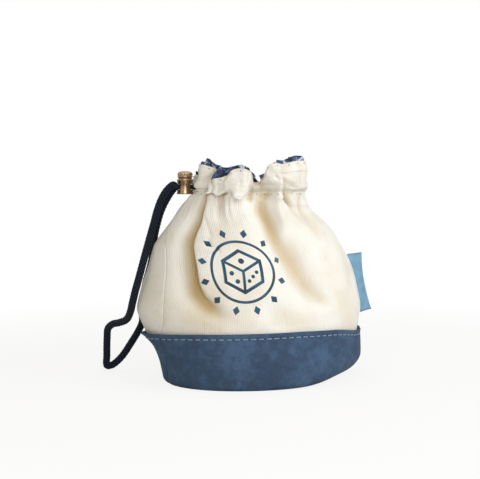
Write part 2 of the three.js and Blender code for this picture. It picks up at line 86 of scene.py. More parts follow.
RING_IN = 9              # the channel's cord runs this far inside the plain neck
EXIT_T = -82 * DEG       # where both cord ends leave the channel
EXIT_Z = CINCH_Z + 3.3
EXIT_D = 30.8            # the free loop begins this far out from the neck's middle
HEM_TOP = CINCH_Z + 6.9  # the gathers stay clear of the channel's cord up to here
CHANNEL_ROW = .988       # stitch row of the channel, in the rows of canvas_point
RIM_HEM = 1.6            # stitch row of the rim, below its edge
LOCK_D = 40.3            # lock axis, measured out from the neck's middle
LOCK_Z = EXIT_Z + 0.1
SEAM_GAP = 0.0004        # share of a panel left free at each side seam
STITCH_DOWN = 3.1        # the band's stitch row lies this far below its top edge


# Shape of the cloth: the solids' stations, sampled more finely, with a closer reading of the rim
def curve(x, xs, ys):
    """Smooth monotone curve through given stations."""
    x, xs, ys = np.asarray(x, float), np.asarray(xs, float), np.asarray(ys, float)
    h = np.diff(xs)
    d = np.diff(ys) / h
    m = np.zeros(len(xs))
    m[0], m[-1] = d[0], d[-1]
    for i in range(1, len(xs) - 1):
        if d[i - 1] * d[i] > 0:
            w1, w2 = 2 * h[i] + h[i - 1], h[i] + 2 * h[i - 1]
            m[i] = (w1 + w2) / (w1 / d[i - 1] + w2 / d[i])
    x = np.clip(x, xs[0], xs[-1])
    k = np.clip(np.searchsorted(xs, x, side="right") - 1, 0, len(h) - 1)
    s = (x - xs[k]) / h[k]
    q = 1 - s
    return ((1 + 2 * s) * q * q * ys[k] + s * q * q * h[k] * m[k]
            + s * s * (3 - 2 * s) * ys[k + 1] + s * s * (s - 1) * h[k] * m[k + 1])


def smooth(a, b, x):
    """Soft step from 0 at a to 1 at b."""
    s = np.clip((x - a) / (b - a), 0, 1)
    return s * s * (3 - 2 * s)


def mix(a, b, s):
    return a + (b - a) * s


def bell(x, left, right):
    """Hump of height 1 at 0, with its own reach to either side."""
    return np.exp(-(x / np.where(x < 0, left, right)) ** 2)


def turn_to(a, b):
    """Angle a seen from b, within half a turn."""
    return np.arctan2(np.sin(a - b), np.cos(a - b))


def degrees(t):
    """An angle in degrees, from -180 to 180."""
    return (np.degrees(t) + 540) % 360 - 180


# plain sections: height as a share of CINCH_Z, centre and width as shares of BODY_W, depth as a share
# of BODY_D, and how far the oval leans
LEVELS = np.array([
    [0, .0071, .849, .942, .265], [.102, .0028, .876, .971, .245], [.187, -.0149, .911, .99, .222],
    [.255, -.0336, .945, 1, .207], [.323, -.0442, .98, 1, .195], [.383, -.0506, 1, 1, .187],
    [.477, -.0502, .972, .981, .17], [.57, -.0488, .93, .942, .156], [.681, -.0548, .864, .883, .146],
    [.774, -.0648, .793, .825, .127], [.834, -.0679, .719, .777, .098], [.902, -.0771, .61, .728, .061],
    [.97, -.0686, .535, .689, .037], [1.013, -.0566, .5025, .66, 0], [1.234, -.0566, .5025, .66, 0]])


def section(z, k):
    return curve(z / CINCH_Z, LEVELS[:, 0], LEVELS[:, k])


def centre_x(z):
    return BODY_W * section(z, 1)


def seam_left(z):
    """Heading of the left seam, in degrees."""
    return curve(z, [0, 30, 45, 71, 95, 119], [-65.6, -57, -52, -56, -66, -80])


def seam_right(z):
    return curve(z, [0, 30, 60, 119], [104, 96, 92, 92])


def band_top(t):
    """Height of the band's top edge."""
    return BAND_H + curve(degrees(t), [-180, -120, -90, -60, -30, 30, 60, 90, 120, 180],
                          [0, -3, -4.5, -1.5, .5, 1, 0, -3.5, -3, 0])


def plain_r(t, z):
    """Radius of the plain, ungathered body: a leaning oval."""
    w, d, lean = BODY_W / 2 * section(z, 2), BODY_D / 2 * section(z, 3), section(z, 4)
    dx, dy = np.sin(t) / w, -np.cos(t) / d
    return np.sqrt((1 - lean * lean) / (dx * dx - 2 * lean * dx * dy + dy * dy))


def turned(x, y, z):
    """From the section heading to the object's frame."""
    c, s = math.cos(TURN), math.sin(TURN)
    return np.stack(np.broadcast_arrays(x * c + y * s, -x * s + y * c, z), -1)


def place(t, r, z):
    """The point at heading t, radius r and height z."""
    return turned(centre_x(z) + r * np.sin(t), -r * np.cos(t), z)


def angle_at(side, u, z):
    """Heading at share u of a panel's width."""
    a, b = seam_left(z), seam_right(z)
    return (mix(a, b, u) if side == "front" else mix(b, a + 360, u)) * DEG


def along_exit(d, across, z):
    """A point at distance d out of the neck on the line where the cord leaves."""
    ex, ey = math.sin(EXIT_T), -math.cos(EXIT_T)
    return turned(float(centre_x(NECK_Z)) + d * ex - across * ey, d * ey + across * ex, z)


# folds: height, place across the panel, depth inwards, reach to the left, reach to the right
FRONT_FOLDS = [
    [[42, .2, 0, .064, .06], [50, .165, 4.5, .06, .05], [57, .128, 7.5, .06, .03],
     [65, .115, 10, .057, .018], [76, .111, 12.5, .055, .015], [84, .116, 13, .055, .013],
     [93, .144, 12, .048, .013], [104, .182, 9.5, .037, .015], [112, .193, 7, .03, .017],
     [117.5, .175, 4.6, .024, .02]],
    [[96, .295, 0, .032, .032], [102, .295, 1.2, .032, .032], [110, .299, 3, .023, .026],
     [117.5, .302, 3.5, .023, .023]],
    [[46, .75, 0, .12, .06], [53, .72, 4, .12, .055], [63.5, .66, 6.5, .1, .07], [73, .62, 7.5, .085, .085],
     [83, .595, 8, .075, .085], [92.5, .578, 8, .075, .08], [105, .563, 7.5, .078, .05],
     [117.5, .55, 4.6, .072, .035]],
    [[35, .509, 0, .064, .096], [40, .5, 1.5, .064, .096], [46, .491, 2.2, .064, .096],
     [56, .481, 0, .064, .086]],
    [[78, .616, 0, .032, .042], [85, .614, -1, .032, .042], [95, .622, -2.5, .026, .032],
     [110, .64, -2.5, .023, .023], [117.5, .635, -1, .021, .021]],
    [[96, .791, 0, .032, .032], [102, .779, 1.5, .032, .032], [110, .745, 3.5, .021, .031],
     [117.5, .686, 4, .021, .026]],
    [[88, .814, 0, .042, .042], [99, .822, 2.2, .042, .042], [108, .84, 3.5, .037, .037],
     [117.5, .874, 3.8, .031, .031]],
    [[36, 0, 0, .021, .013], [41, 0, .6, .021, .013], [50, 0, 0, .021, .013]],
]
# back: place at the cinch, place low down, greatest depth, height where it ends
BACK_GATHERS = [
    [.05, .07, 5, 72], [.16, .19, 8, 58], [.27, .29, 5, 80], [.38, .37, 9, 52], [.5, .5, 5, 78],
    [.61, .6, 8, 60], [.72, .7, 5, 74], [.83, .8, 8, 62], [.94, .92, 4, 84]]
BACK_FOLDS = [
    [[low, at_low, 0, .06, .06], [mix(low, CINCH_Z, .35), mix(at_low, at_top, .35), deep * .8, .05, .05],
     [mix(low, CINCH_Z, .7), mix(at_low, at_top, .7), deep, .035, .035], [CINCH_Z, at_top, 4.2, .028, .028]]
    for at_top, at_low, deep, low in BACK_GATHERS]
FOLDS = {"front": FRONT_FOLDS, "back": BACK_FOLDS}


def fold_in(side, u, z):
    """How deep the large folds run in, added up."""
    total = 0 * (u + z)
    for rows in FOLDS[side]:
        f = np.array(rows, float)
        at, deep, left, right = (curve(z, f[:, 0], f[:, k]) for k in (1, 2, 3, 4))
        total = total + np.where(z > f[0, 0], deep * bell(u - at, left, right), 0)
    return total


# header above the channel: place, offset from the plain neck at the rim, rim height above the channel
RIM = {
    "front": np.array([
        [0, -5, 12.5], [.063, -3.5, 17], [.126, -.5, 17.2], [.173, -3, 16], [.215, -7, 13.5],
        [.239, 4, 7.1], [.27, 5, 8.5], [.314, 4.6, 9.1], [.345, 4.2, 10.5], [.373, 4.2, 13.5],
        [.411, 4.8, 14.5], [.45, 6, 13.9], [.476, 5, 12], [.486, 3.5, 10], [.495, .5, 6.6],
        [.508, -1.6, 6.3], [.536, -1, 6.5], [.542, 1.5, 8.8], [.548, 4.5, 13.4], [.561, 6, 16.8],
        [.59, 6.3, 17.6], [.62, 5.6, 17.6], [.645, 3, 17.3], [.672, .5, 17.2], [.7, 1.2, 18],
        [.73, 3.2, 18.9], [.77, 2.6, 19.3], [.8, 1.6, 19.5], [.837, 3.2, 19.5], [.9, .2, 19.9],
        [.963, -2.2, 20.1], [1, -1.4, 20.5]]),
    "back": np.array([
        [0, -1.4, 20.5], [.05, -3.8, 21.5], [.1, 3, 22.5], [.16, -2, 22], [.22, 4, 20.5],
        [.28, -3, 18.5], [.31, 2, 11.5], [.34, 0, 6.2], [.38, -3.5, 5.9], [.43, 2.5, 9.5],
        [.48, -2.5, 14], [.515, 1, 16.2], [.565, 3, 15.6], [.618, -2, 14.6], [.645, 0, 15],
        [.692, 2, 18], [.732, 2, 20.4], [.757, 1.5, 18], [.782, 1.5, 18.6], [.82, 0, 15.5],
        [.85, -4.5, 11.5], [.91, 0, 10.5], [.96, -4, 11], [1, -5, 12.5]]),
}
# how far the ruffle bellies out just above the channel, and how far that belly hangs over it
BELLY = {
    "front": np.array([
        [0, 1, 0], [.06, 2.2, .4], [.12, 3, 1], [.17, 2.4, .6], [.192, .4, 0], [.208, 3.2, 3],
        [.265, 3, 1.6], [.302, 3.6, 4], [.335, 3, 1], [.36, 3, .6], [.375, 3.2, 2], [.39, 3.5, 4],
        [.415, 4, 6.6], [.44, 4.2, 7], [.455, 3.4, 4.5], [.468, 1.4, .6], [.48, 0, 0], [.53, 0, 0],
        [.58, .8, 0], [.62, 2, 0], [.66, .6, 0], [.7, 1.6, .6], [.75, 2.4, 1.4], [.795, 1, 0],
        [.85, 2.6, 1.6], [.9, 1.2, .2], [.95, 1.6, .6], [1, 1, 0]]),
    "back": np.array([
        [0, 1, 0], [.08, 2.4, .8], [.16, .5, 0], [.22, 2.6, 1], [.3, .6, 0], [.38, 1.6, .4],
        [.46, .6, 0], [.54, 2.6, 1], [.6, .6, 0], [.67, 2.6, 1], [.73, .6, 0], [.79, 2.4, .8],
        [.86, .6, 0], [.93, 1.6, .4], [1, 1, 0]]),
}


def beside_lock(t, z, off):
    """The cloth is pressed in where the lock rests on it."""
    level = smooth(CINCH_Z - 11.5, CINCH_Z - 3.5, z) * (1 - smooth(CINCH_Z + 9.5, CINCH_Z + 14.5, z))
    near = np.minimum(1, 2 * bell(turn_to(t, EXIT_T), .24, .24)) * level
    return np.minimum(off, mix(6, -2.2, near))


def canvas_point(side, u, s):
    """Outer face of the canvas; s from 0 behind the band to 1 at the cinch and 2 at the rim."""
    rim, belly = RIM[side], BELLY[side]
    low = band_top(angle_at(side, u, BAND_H + 0 * u)) - OVERLAP
    h = np.clip(s - 1, 0, 1)
    high = CINCH_Z + h * curve(u, rim[:, 0], rim[:, 2])
    z = np.where(s <= 1, mix(low, CINCH_Z, np.minimum(s, 1)), high)
    t = angle_at(side, u, z)
    body = -fold_in(side, u, z)
    body = np.maximum(body, mix(-14, -5, smooth(107, 113, z)))
    neck = np.maximum(-fold_in(side, u, CINCH_Z + 0 * u), -HEM_IN)
    swell = np.exp(-((h - .22) / .17) ** 2) * smooth(0, .08, h)
    head = mix(neck, curve(u, rim[:, 0], rim[:, 1]), smooth(-.1, .75, h))
    head = head + 1.2 * np.sin(np.pi * h) + curve(u, belly[:, 0], belly[:, 1]) * swell
    head = np.where(z < HEM_TOP, np.maximum(head, -HEM_IN), head)
    off = beside_lock(t, z, np.where(s <= 1, body, head))
    z = z - curve(u, belly[:, 0], belly[:, 2]) * swell
    return t, z, off


def tuck(t, z):
    """Rounding of the lower edge, higher and wider at the right where the base curls up."""
    curl = bell(degrees(t) - CURL_AT, 35, 45)
    tall, wide = EDGE_R + CURL_UP * curl, EDGE_R + CURL_IN * curl
    q = np.clip(1 - z / tall, 0, 1)
    return wide * (1 - np.sqrt(1 - q * q))


def ring_r(t):
    """The channel's cord, round the neck: its radius, and below its height."""
    return plain_r(t, NECK_Z + 0 * t) - RING_IN


def ring_z(t):
    return CINCH_Z + (EXIT_Z - CINCH_Z) * bell(turn_to(t, EXIT_T), .4, .4)


def lining_r(t, z, r):
    """Outer face of the lining: close behind the canvas, but inside the cord along the channel."""
    up = z - ring_z(t)
    near = bell(turn_to(t, EXIT_T), .6, .6)
    w = np.where(up > 0, 1 - smooth(3.3 + 1.3 * near, 5.6 + 2 * near, up), 1 - smooth(3.6, 10, -up))
    close = r - CANVAS - GAP - np.where(z > NECK_Z, .2, 0)
    return mix(close, np.minimum(close, ring_r(t) - CORD_R - GAP), w)


def band_r(t, z):
    """Outer face of the plain band."""
    return plain_r(t, z) + BAND_OUT + SUEDE - tuck(t, z)


def ripple(u, z, seed, count=7, low=2.0, high=9.0, tall=38.0):
    """Slow unevenness of cloth, the same each run."""
    rng = np.random.default_rng(seed)
    total = 0 * (u + z)
    for _ in range(count):
        a, b, p = rng.uniform(low, high), rng.uniform(-1, 1), rng.uniform(0, 2 * np.pi)
        total = total + np.sin(2 * np.pi * (a * u + b * z / tall) + p) / count
    return total


# small creases drawn as short strokes: from (place, height) to (place, height), depth, width in mm
FRONT_CREASES = [
    (.249, 84, .175, 87.5, 1, 1.5), (.217, 88, .17, 79, .8, 2.2), (.227, 93, .21, 104, .7, 2),
    (.351, 117, .347, 103, .9, 2.2), (.382, 117, .38, 108, .7, 1.6), (.262, 117, .265, 110, .8, 1.6),
    (.45, 117, .46, 104, .8, 2.2), (.583, 117, .584, 107, .8, 1.8), (.607, 117, .603, 111, .6, 1.4),
    (.723, 117, .758, 103, .9, 2), (.796, 117, .83, 106, .8, 1.8), (.922, 117, .926, 104, .9, 2.2),
    (.984, 117, .982, 108, .7, 1.8), (.073, 117, .068, 105, .8, 2), (.115, 117, .11, 110, .6, 1.6),
    (.673, 60, .833, 47, .6, 5), (.213, 44, .351, 37, .5, 4), (.919, 60, .992, 44, .6, 4.5),
]
BACK_CREASES = [(at, 117, at + .01, 104 + 7 * math.sin(40 * at), .8, 1.9)
                for at in np.arange(.04, 1, .067)]
CREASES = {"front": FRONT_CREASES, "back": BACK_CREASES}
PANEL_W = 190            # rough width of a panel, to draw the creases at their true size
HEADER_W = 105           # and of its header
# ridges and hollows of the front header: depth inwards, reach to the left and right in mm, then a
# line of places and heights
HEADER_FOLDS = [
    (-1.8, .9, 3.5, (.565, 124.6), (.588, 122), (.615, 119.2), (.627, 114.8)),
    (4.4, 4, 1.8, (.545, 123.4), (.575, 120.4), (.6, 117)),
    (3.6, 1.2, 3, (.483, 126), (.475, 121), (.468, 114)),
    (-2.4, 3.2, 1.1, (.593, 132.2), (.618, 128), (.637, 123.8), (.642, 119), (.662, 114.8)),
    (3.2, .9, 1.8, (.645, 129.2), (.662, 123.8), (.665, 119), (.7, 113.6), (.74, 110.4)),
    (-1.6, 1.5, 1.5, (.653, 127.4), (.697, 125.6), (.755, 123.2), (.765, 120.2)),
    (1.2, 1, 1, (.67, 125), (.705, 123.4), (.742, 121)),
    (1.3, 1, 1, (.762, 118), (.8, 119), (.842, 120.6)),
    (1.3, .8, .8, (.542, 125.2), (.57, 126.2), (.593, 127), (.607, 125.8)),
    (1.8, 1.2, 2.2, (.653, 134), (.657, 129.8)),
    (1.4, .9, .9, (.208, 128.8), (.19, 127), (.155, 124.2)),
    (-.9, 1.2, 1.2, (.2, 130.6), (.175, 128.6), (.14, 126.4)),
    (2, 1.1, 1.1, (.085, 120.6), (.142, 119.6), (.184, 118.6)),
    (2.2, 2, .6, (.226, 125), (.204, 121.4), (.2, 117)),
    (-1.1, .9, 3, (.372, 129), (.352, 126.2), (.335, 122.6)),
    (.9, 1.4, 1.4, (.355, 129.5), (.33, 125.5)),
    (-1.2, 3, 3, (.39, 124), (.412, 120.2), (.435, 117)),
    (1.2, 1.5, 1.5, (.25, 124.6), (.262, 121), (.255, 118)),
]


def to_segment(x, y, a, b):
    """Offsets from the nearest point of a segment, and how far along it that point lies."""
    dx, dy = b[0] - a[0], b[1] - a[1]
    f = np.clip(((x - a[0]) * dx + (y - a[1]) * dy) / (dx * dx + dy * dy), 0, 1)
    return x - a[0] - f * dx, y - a[1] - f * dy, f


def creases(side, u, z):
    """How deep the small creases of the body run in, added up."""
    total = 0 * (u + z)
    for u0, z0, u1, z1, deep, wide in CREASES[side]:
        qx, qy, f = to_segment(u * PANEL_W, z, (u0 * PANEL_W, z0), (u1 * PANEL_W, z1))
        total = total + deep * np.exp(-(np.hypot(qx, qy) / wide) ** 2) * (1 - .7 * f)
    return total


def header_folds(u, z):
    """How deep the header's ridges and hollows run in, added up."""
    total = 0 * (u + z)
    for deep, left, right, *line in HEADER_FOLDS:
        near, beside = 1e6 + total * 0, total * 0
        line = [(a * HEADER_W, b) for a, b in line]
        for a, b in zip(line, line[1:]):
            qx, qy, _ = to_segment(u * HEADER_W, z, a, b)
            far = np.hypot(qx, qy) + 1e-6
            beside = np.where(far < near, qx / far, beside)
            near = np.minimum(near, far)
        total = total + deep * np.exp(-(near / mix(left, right, (beside + 1) / 2)) ** 2)
    return total


# Meshes
def linked(name, data):
    """A new object in the scene."""
    ob = bpy.data.objects.new(name, data)
    bpy.context.scene.collection.objects.link(ob)
    return ob


def mesh_object(name, verts, faces, uv=None):
    """A smooth mesh from points in mm, faces and, where given, cloth coordinates in mm."""
    me = bpy.data.meshes.new(name)
    faces = faces if isinstance(faces, list) else faces.tolist()
    me.from_pydata((np.asarray(verts) * MM).tolist(), [], faces)
    if uv is not None:
        layer = me.uv_layers.new(name="cloth")
        corner = np.zeros(len(me.loops), int)
        me.loops.foreach_get("vertex_index", corner)
        layer.data.foreach_set("uv", (np.asarray(uv)[corner] * MM).ravel())
    me.polygons.foreach_set("use_smooth", [True] * len(me.polygons))
    me.update()
    return linked(name, me)


def add_values(ob, name, values):
    """Stores a number for each point of a mesh."""
    ob.data.attributes.new(name, "FLOAT", "POINT").data.foreach_set("value", values)


def face_out(verts, faces):
    """Turns all faces round where they enclose a negative volume."""
    a, b, c, d = (verts[faces[:, k]] for k in range(4))
    volume = (np.cross(a, b) * c).sum() + (np.cross(a, c) * d).sum()
    return faces[:, ::-1] if volume < 0 else faces


def grid_faces(columns, rows, closed=False):
    """Faces of a grid of points, row by row; closed joins the last column to the first."""
    i, j = np.meshgrid(np.arange(columns if closed else columns - 1), np.arange(rows - 1))
    i, j = i.ravel(), j.ravel()
    k = (i + 1) % columns
    return np.stack([j * columns + i, j * columns + k, (j + 1) * columns + k, (j + 1) * columns + i], -1)


def shell(name, outer, inner, uv, attributes):
    """Closed cloth piece between two equal grids of points, shape (rows, columns, 3)."""
    rows, columns, _ = outer.shape
    n = rows * columns
    f = grid_faces(columns, rows)
    i, j = np.arange(columns - 1), np.arange(rows - 1)
    top, end = (rows - 1) * columns, columns - 1
    faces = np.vstack([
        f, f[:, ::-1] + n,
        np.stack([i + 1, i, n + i, n + i + 1], -1),
        np.stack([top + i, top + i + 1, n + top + i + 1, n + top + i], -1),
        np.stack([j * columns, (j + 1) * columns, n + (j + 1) * columns, n + j * columns], -1),
        np.stack([(j + 1) * columns + end, j * columns + end,
                  n + j * columns + end, n + (j + 1) * columns + end], -1)])
    verts = np.vstack([outer.reshape(-1, 3), inner.reshape(-1, 3)])
    ob = mesh_object(name, verts, face_out(verts, faces), np.vstack([uv.reshape(-1, 2)] * 2))
    for key, both in attributes.items():
        add_values(ob, key, np.concatenate([np.broadcast_to(v, outer.shape[:2]).ravel() for v in both]))
    return ob


def closed_tube(name, rings, poles, uv=None):
    """Tube through rings of points, shape (rings, points, 3), closed by a fan to a pole at each end."""
    rows, count, _ = rings.shape
    verts = np.vstack([rings.reshape(-1, 3), poles])
    quads = grid_faces(count, rows, closed=True)
    k = np.arange(count)
    k2 = (k + 1) % count
    first, last, o = rows * count, rows * count + 1, (rows - 1) * count
    caps = np.vstack([np.stack([0 * k + first, k2, k], -1), np.stack([0 * k + last, o + k, o + k2], -1)])
    if (face_out(verts, quads) != quads).any():
        quads, caps = quads[:, ::-1], caps[:, ::-1]
    return mesh_object(name, verts, quads.tolist() + caps.tolist(), uv)


def cloth_uv(p, column):
    """Near true length cloth coordinates over a grid of points, in mm, measured from one column."""
    du = np.linalg.norm(np.diff(p, axis=1), axis=-1)
    x = np.concatenate([np.zeros((p.shape[0], 1)), np.cumsum(du, axis=1)], 1)
    dv = np.linalg.norm(np.diff(p[:, column], axis=0), axis=-1)
    y = np.concatenate([[0], np.cumsum(dv)])
    return np.stack([x - x[:, column:column + 1], np.repeat(y[:, None], p.shape[1], 1)], -1)


def outward(p):
    """Unit normals of a grid, pointing away from the pouch's middle."""
    n = np.cross(np.gradient(p, axis=1), np.gradient(p, axis=0))
    n /= np.linalg.norm(n, axis=-1, keepdims=True) + 1e-12
    away = (n[..., :2] * p[..., :2]).sum(-1).mean()
    return n if away > 0 else -n


BRAID_ENDS, BRAID_PITCH = 6, 2.5     # ends each way round the cord, and mm from one crossing to the next
BRAID_MIDDLE = .6                    # relief of the braid that lies on the plain radius
CORD_GIRTH = 13.8                    # mm round the cord in its cloth coordinates


def strand(name, line, half_w, half_h, sides, braid=0.0):
    """Closed tube along a dense line of points, with a plain braid in relief."""
    line = np.asarray(line, float)
    n = len(line)
    tangent = np.gradient(line, axis=0)
    tangent /= np.linalg.norm(tangent, axis=1, keepdims=True)
    side = np.zeros_like(line)
    s = np.cross([0, 0, 1.0], tangent[0])
    for i in range(n):
        s = s - tangent[i] * (s @ tangent[i])
        s /= np.linalg.norm(s)
        side[i] = s
    up = np.cross(tangent, side)
    step = np.linalg.norm(np.diff(line, axis=0), axis=1)
    run = np.concatenate([[0], np.cumsum(step)])[:, None]
    a = 2 * np.pi * (np.arange(sides) + .5)[None] / sides
    p, q = (BRAID_ENDS * a / (2 * np.pi) + way * run / BRAID_PITCH for way in (1, -1))

    def end(across, along):
        k = np.round(across)
        lift = .5 * np.cos(np.pi * along) * np.where(k % 2 == 0, 1, -1)
        return np.sqrt(np.clip(1 - (2 * (across - k)) ** 2, 0, 1)) * .55 + lift

    relief = np.maximum(end(p, q), end(q, p + 1))
    r = 1 + braid * (relief - BRAID_MIDDLE)
    half_w, half_h = (np.broadcast_to(v, n)[:, None] for v in (half_w, half_h))
    rings = (line[:, None] + side[:, None] * (half_w * r * np.cos(a))[..., None]
             + up[:, None] * (half_h * r * np.sin(a))[..., None])
    uv = np.stack(np.broadcast_arrays(a / (2 * np.pi) * CORD_GIRTH, run), -1)
    ob = closed_tube(name, rings, line[[0, -1]], np.vstack([uv.reshape(-1, 2), np.zeros((2, 2))]))
    add_values(ob, "relief", np.concatenate([relief.ravel(), [0, 0]]))
    return ob


def through(points, extra, step):
    """Even, dense points on a centripetal Catmull-Rom curve, with extra values carried along."""
    P = np.asarray(points, float)
    E = np.asarray(extra, float)
    P = np.vstack([2 * P[0] - P[1], P, 2 * P[-1] - P[-2]])
    out, more = [], []
    for i in range(1, len(P) - 2):
        p0, p1, p2, p3 = P[i - 1:i + 3]
        t = np.cumsum([0] + [np.linalg.norm(b - a) ** .5 for a, b in ((p0, p1), (p1, p2), (p2, p3))])
        for f in np.linspace(0, 1, 40, endpoint=False):
            x = mix(t[1], t[2], f)
            a1 = mix(p0, p1, (x - t[0]) / (t[1] - t[0]))
            a2 = mix(p1, p2, (x - t[1]) / (t[2] - t[1]))
            a3 = mix(p2, p3, (x - t[2]) / (t[3] - t[2]))
            b1 = mix(a1, a2, (x - t[0]) / (t[2] - t[0]))
            b2 = mix(a2, a3, (x - t[1]) / (t[3] - t[1]))
            out.append(mix(b1, b2, (x - t[1]) / (t[2] - t[1])))
            more.append(mix(E[i - 1], E[i], f))
    out.append(P[-2])
    more.append(E[-1])
    out, more = np.array(out), np.array(more)
    run = np.concatenate([[0], np.cumsum(np.linalg.norm(np.diff(out, axis=0), axis=1))])
    even = np.linspace(0, run[-1], max(2, int(run[-1] / step)))
    line = np.stack([np.interp(even, run, out[:, k]) for k in range(3)], -1)
    return line, np.stack([np.interp(even, run, more[:, k]) for k in range(more.shape[1])], -1)


def finished(ob, material, body, slot, *nodes):
    """Gives a piece its material and its body, and hides the solids that it stands for; slot is not used."""
    ob.data.materials.clear()
    ob.data.materials.append(material)
    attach(ob, body)
    if nodes:
        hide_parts(*nodes)
    return ob


# Materials
def srgb(r, g, b):
    """A colour from 0 to 255 as the renderer takes it."""
    shares = (r / 255, g / 255, b / 255)
    return tuple(c / 12.92 if c <= .04045 else ((c + .055) / 1.055) ** 2.4 for c in shares)


class Nodes:
    """Short hand for building a node tree."""

    def __init__(self, tree):
        self.tree = tree
        tree.nodes.clear()

    def node(self, kind, **props):
        n = self.tree.nodes.new(kind)
        for key, value in props.items():
            setattr(n, key, value)
        return n

    def put(self, socket, value):
        """Links an output to a socket, or sets the socket's own value."""
        if isinstance(value, bpy.types.NodeSocket):
            self.tree.links.new(value, socket)
        elif socket.type == "RGBA" and len(value) == 3:
            socket.default_value = (*value, 1)
        else:
            socket.default_value = value

    def filled(self, kind, given, **props):
        """A node with some of its inputs given, by name or number."""
        n = self.node(kind, **props)
        for key, value in given.items():
            self.put(n.inputs[key], value)
        return n

    def math(self, op, *values):
        return self.filled("ShaderNodeMath", dict(enumerate(values)), operation=op).outputs[0]

    def times(self, a, b):
        return self.math("MULTIPLY", a, b)

    def less(self, a, b):
        return self.math("SUBTRACT", a, b)

    def step(self, low, high, x, start=0.0, end=1.0):
        """Soft step of x from low to high."""
        given = dict(enumerate((x, low, high, start, end)))
        return self.filled("ShaderNodeMapRange", given, interpolation_type="SMOOTHSTEP").outputs[0]

    def colour(self, share, a, b, blend="MIX"):
        mixed = self.filled("ShaderNodeMix", {0: share, 6: a, 7: b}, data_type="RGBA", blend_type=blend)
        return mixed.outputs[2]


class Finish(Nodes):
    """One material with a single shader."""

    def __init__(self, name):
        self.mat = bpy.data.materials.new(name)
        self.mat.use_nodes = True
        super().__init__(self.mat.node_tree)
        self.shader = self.node("ShaderNodeBsdfPrincipled")
        self.filled("ShaderNodeOutputMaterial", {0: self.shader.outputs[0]})

    def noise(self, size, detail=3.0, rough=.5, at=None, stretch=None):
        """Noise whose blotches are about size mm across."""
        at = self.place() if at is None else at
        if stretch:
            at = self.filled("ShaderNodeMapping", {"Scale": stretch, "Vector": at}).outputs[0]
        given = {"Scale": 1 / (size * MM), "Detail": detail, "Roughness": rough, "Vector": at}
        return self.filled("ShaderNodeTexNoise", given).outputs[0]

    def place(self):
        return self.node("ShaderNodeTexCoord").outputs["Object"]

    def cloth(self):
        """The cloth's own coordinates: vector, across in mm, along in mm."""
        at = self.node("ShaderNodeUVMap", uv_map="cloth").outputs[0]
        s = self.filled("ShaderNodeSeparateXYZ", {0: at})
        return at, self.times(s.outputs[0], 1000), self.times(s.outputs[1], 1000)

    def attribute(self, name):
        return self.node("ShaderNodeAttribute", attribute_name=name).outputs["Fac"]

    def bump(self, height, deep, normal=None):
        """Relief of a height from 0 to 1, deep in mm."""
        given = {"Distance": deep * MM, "Height": height}
        if normal is not None:
            given["Normal"] = normal
        return self.filled("ShaderNodeBump", given).outputs[0]

    def weave(self, x, y, rib, pick):
        """Plain weave with a stronger rib one way, from about 0 to 1."""
        a = self.math("SINE", self.times(x, 2 * math.pi / rib))
        b = self.math("SINE", self.times(y, 2 * math.pi / pick))
        return self.math("ADD", self.math("MULTIPLY_ADD", a, .28, .5), self.times(self.times(a, b), .2))

    def made(self, colour, rough=.9, normal=None, **rest):
        """Sets the shader's inputs and gives back the material."""
        self.put(self.shader.inputs["Base Color"], colour)
        self.put(self.shader.inputs["Roughness"], rough)
        if normal is not None:
            self.put(self.shader.inputs["Normal"], normal)
        for key, value in rest.items():
            self.put(self.shader.inputs[key.replace("_", " ").title().replace("Ior", "IOR")], value)
        return self.mat


# printed emblem, in mm from its middle: a die drawn as a cube in a ring, set round with lozenges
COS30 = .866
CUBE_R, STROKE = 12.6, 1.9           # the cube's corners, and the width of its lines
RING_R, RING_HALF = 18.4, .8         # the ring, and half the width of its line
LOZENGES, LOZENGE_R = 12, 24         # how many, and how far out
LOZENGE_W, LOZENGE_LEAN = 2.1, .75   # half their width, and that as a share of half their length
PIPS = [(0, 6.2, 1.7), (-6.9, -1.1, 1.35), (-3.9, -6, 1.35), (3, -5.8, 1.1), (5.4, -3.2, 1.1),
        (7.8, -.6, 1.1)]
INK_EDGE = (-.12, .14)               # the ink fades out over this width


def print_mask(g, x, y):
    """1 where the emblem has ink, from distances to its shapes."""
    def either(a, b):
        return g.math("MINIMUM", a, b)

    def sector(count):
        return g.less(g.math("FLOORED_MODULO", angle, 2 * math.pi / count), math.pi / count)

    def off(a, b):
        return g.math("ABSOLUTE", g.less(a, b))

    r = g.math("SQRT", g.math("ADD", g.times(x, x), g.times(y, y)))
    angle = g.math("ARCTAN2", x, y)
    ax, ay = g.math("ABSOLUTE", x), g.math("ABSOLUTE", y)
    side = g.math("MAXIMUM", ax, g.math("ADD", g.times(ay, COS30), g.times(ax, .5)))
    outline = g.less(off(side, CUBE_R * COS30), STROKE / 2)
    third = sector(3)
    across = g.less(g.math("ABSOLUTE", g.times(r, g.math("SINE", third))), STROKE * .42)
    behind = g.times(g.times(r, g.math("COSINE", third)), -1)
    edge = g.math("MAXIMUM", g.math("MAXIMUM", across, behind), g.less(side, CUBE_R * COS30))
    ink = either(outline, edge)
    at = g.filled("ShaderNodeCombineXYZ", {0: x, 1: y}).outputs[0]
    for px, py, size in PIPS:
        d = g.filled("ShaderNodeVectorMath", {0: at, 1: (px, py, 0)}, operation="DISTANCE")
        ink = either(ink, g.less(d.outputs["Value"], size))
    ring = g.less(off(r, RING_R), RING_HALF)
    turn = sector(LOZENGES)
    along = off(g.times(r, g.math("COSINE", turn)), LOZENGE_R)
    aside = g.math("ABSOLUTE", g.times(r, g.math("SINE", turn)))
    lozenge = g.less(g.math("ADD", g.times(along, LOZENGE_LEAN), aside), LOZENGE_W)
    return g.less(1.0, g.step(*INK_EDGE, either(either(ink, ring), lozenge)))


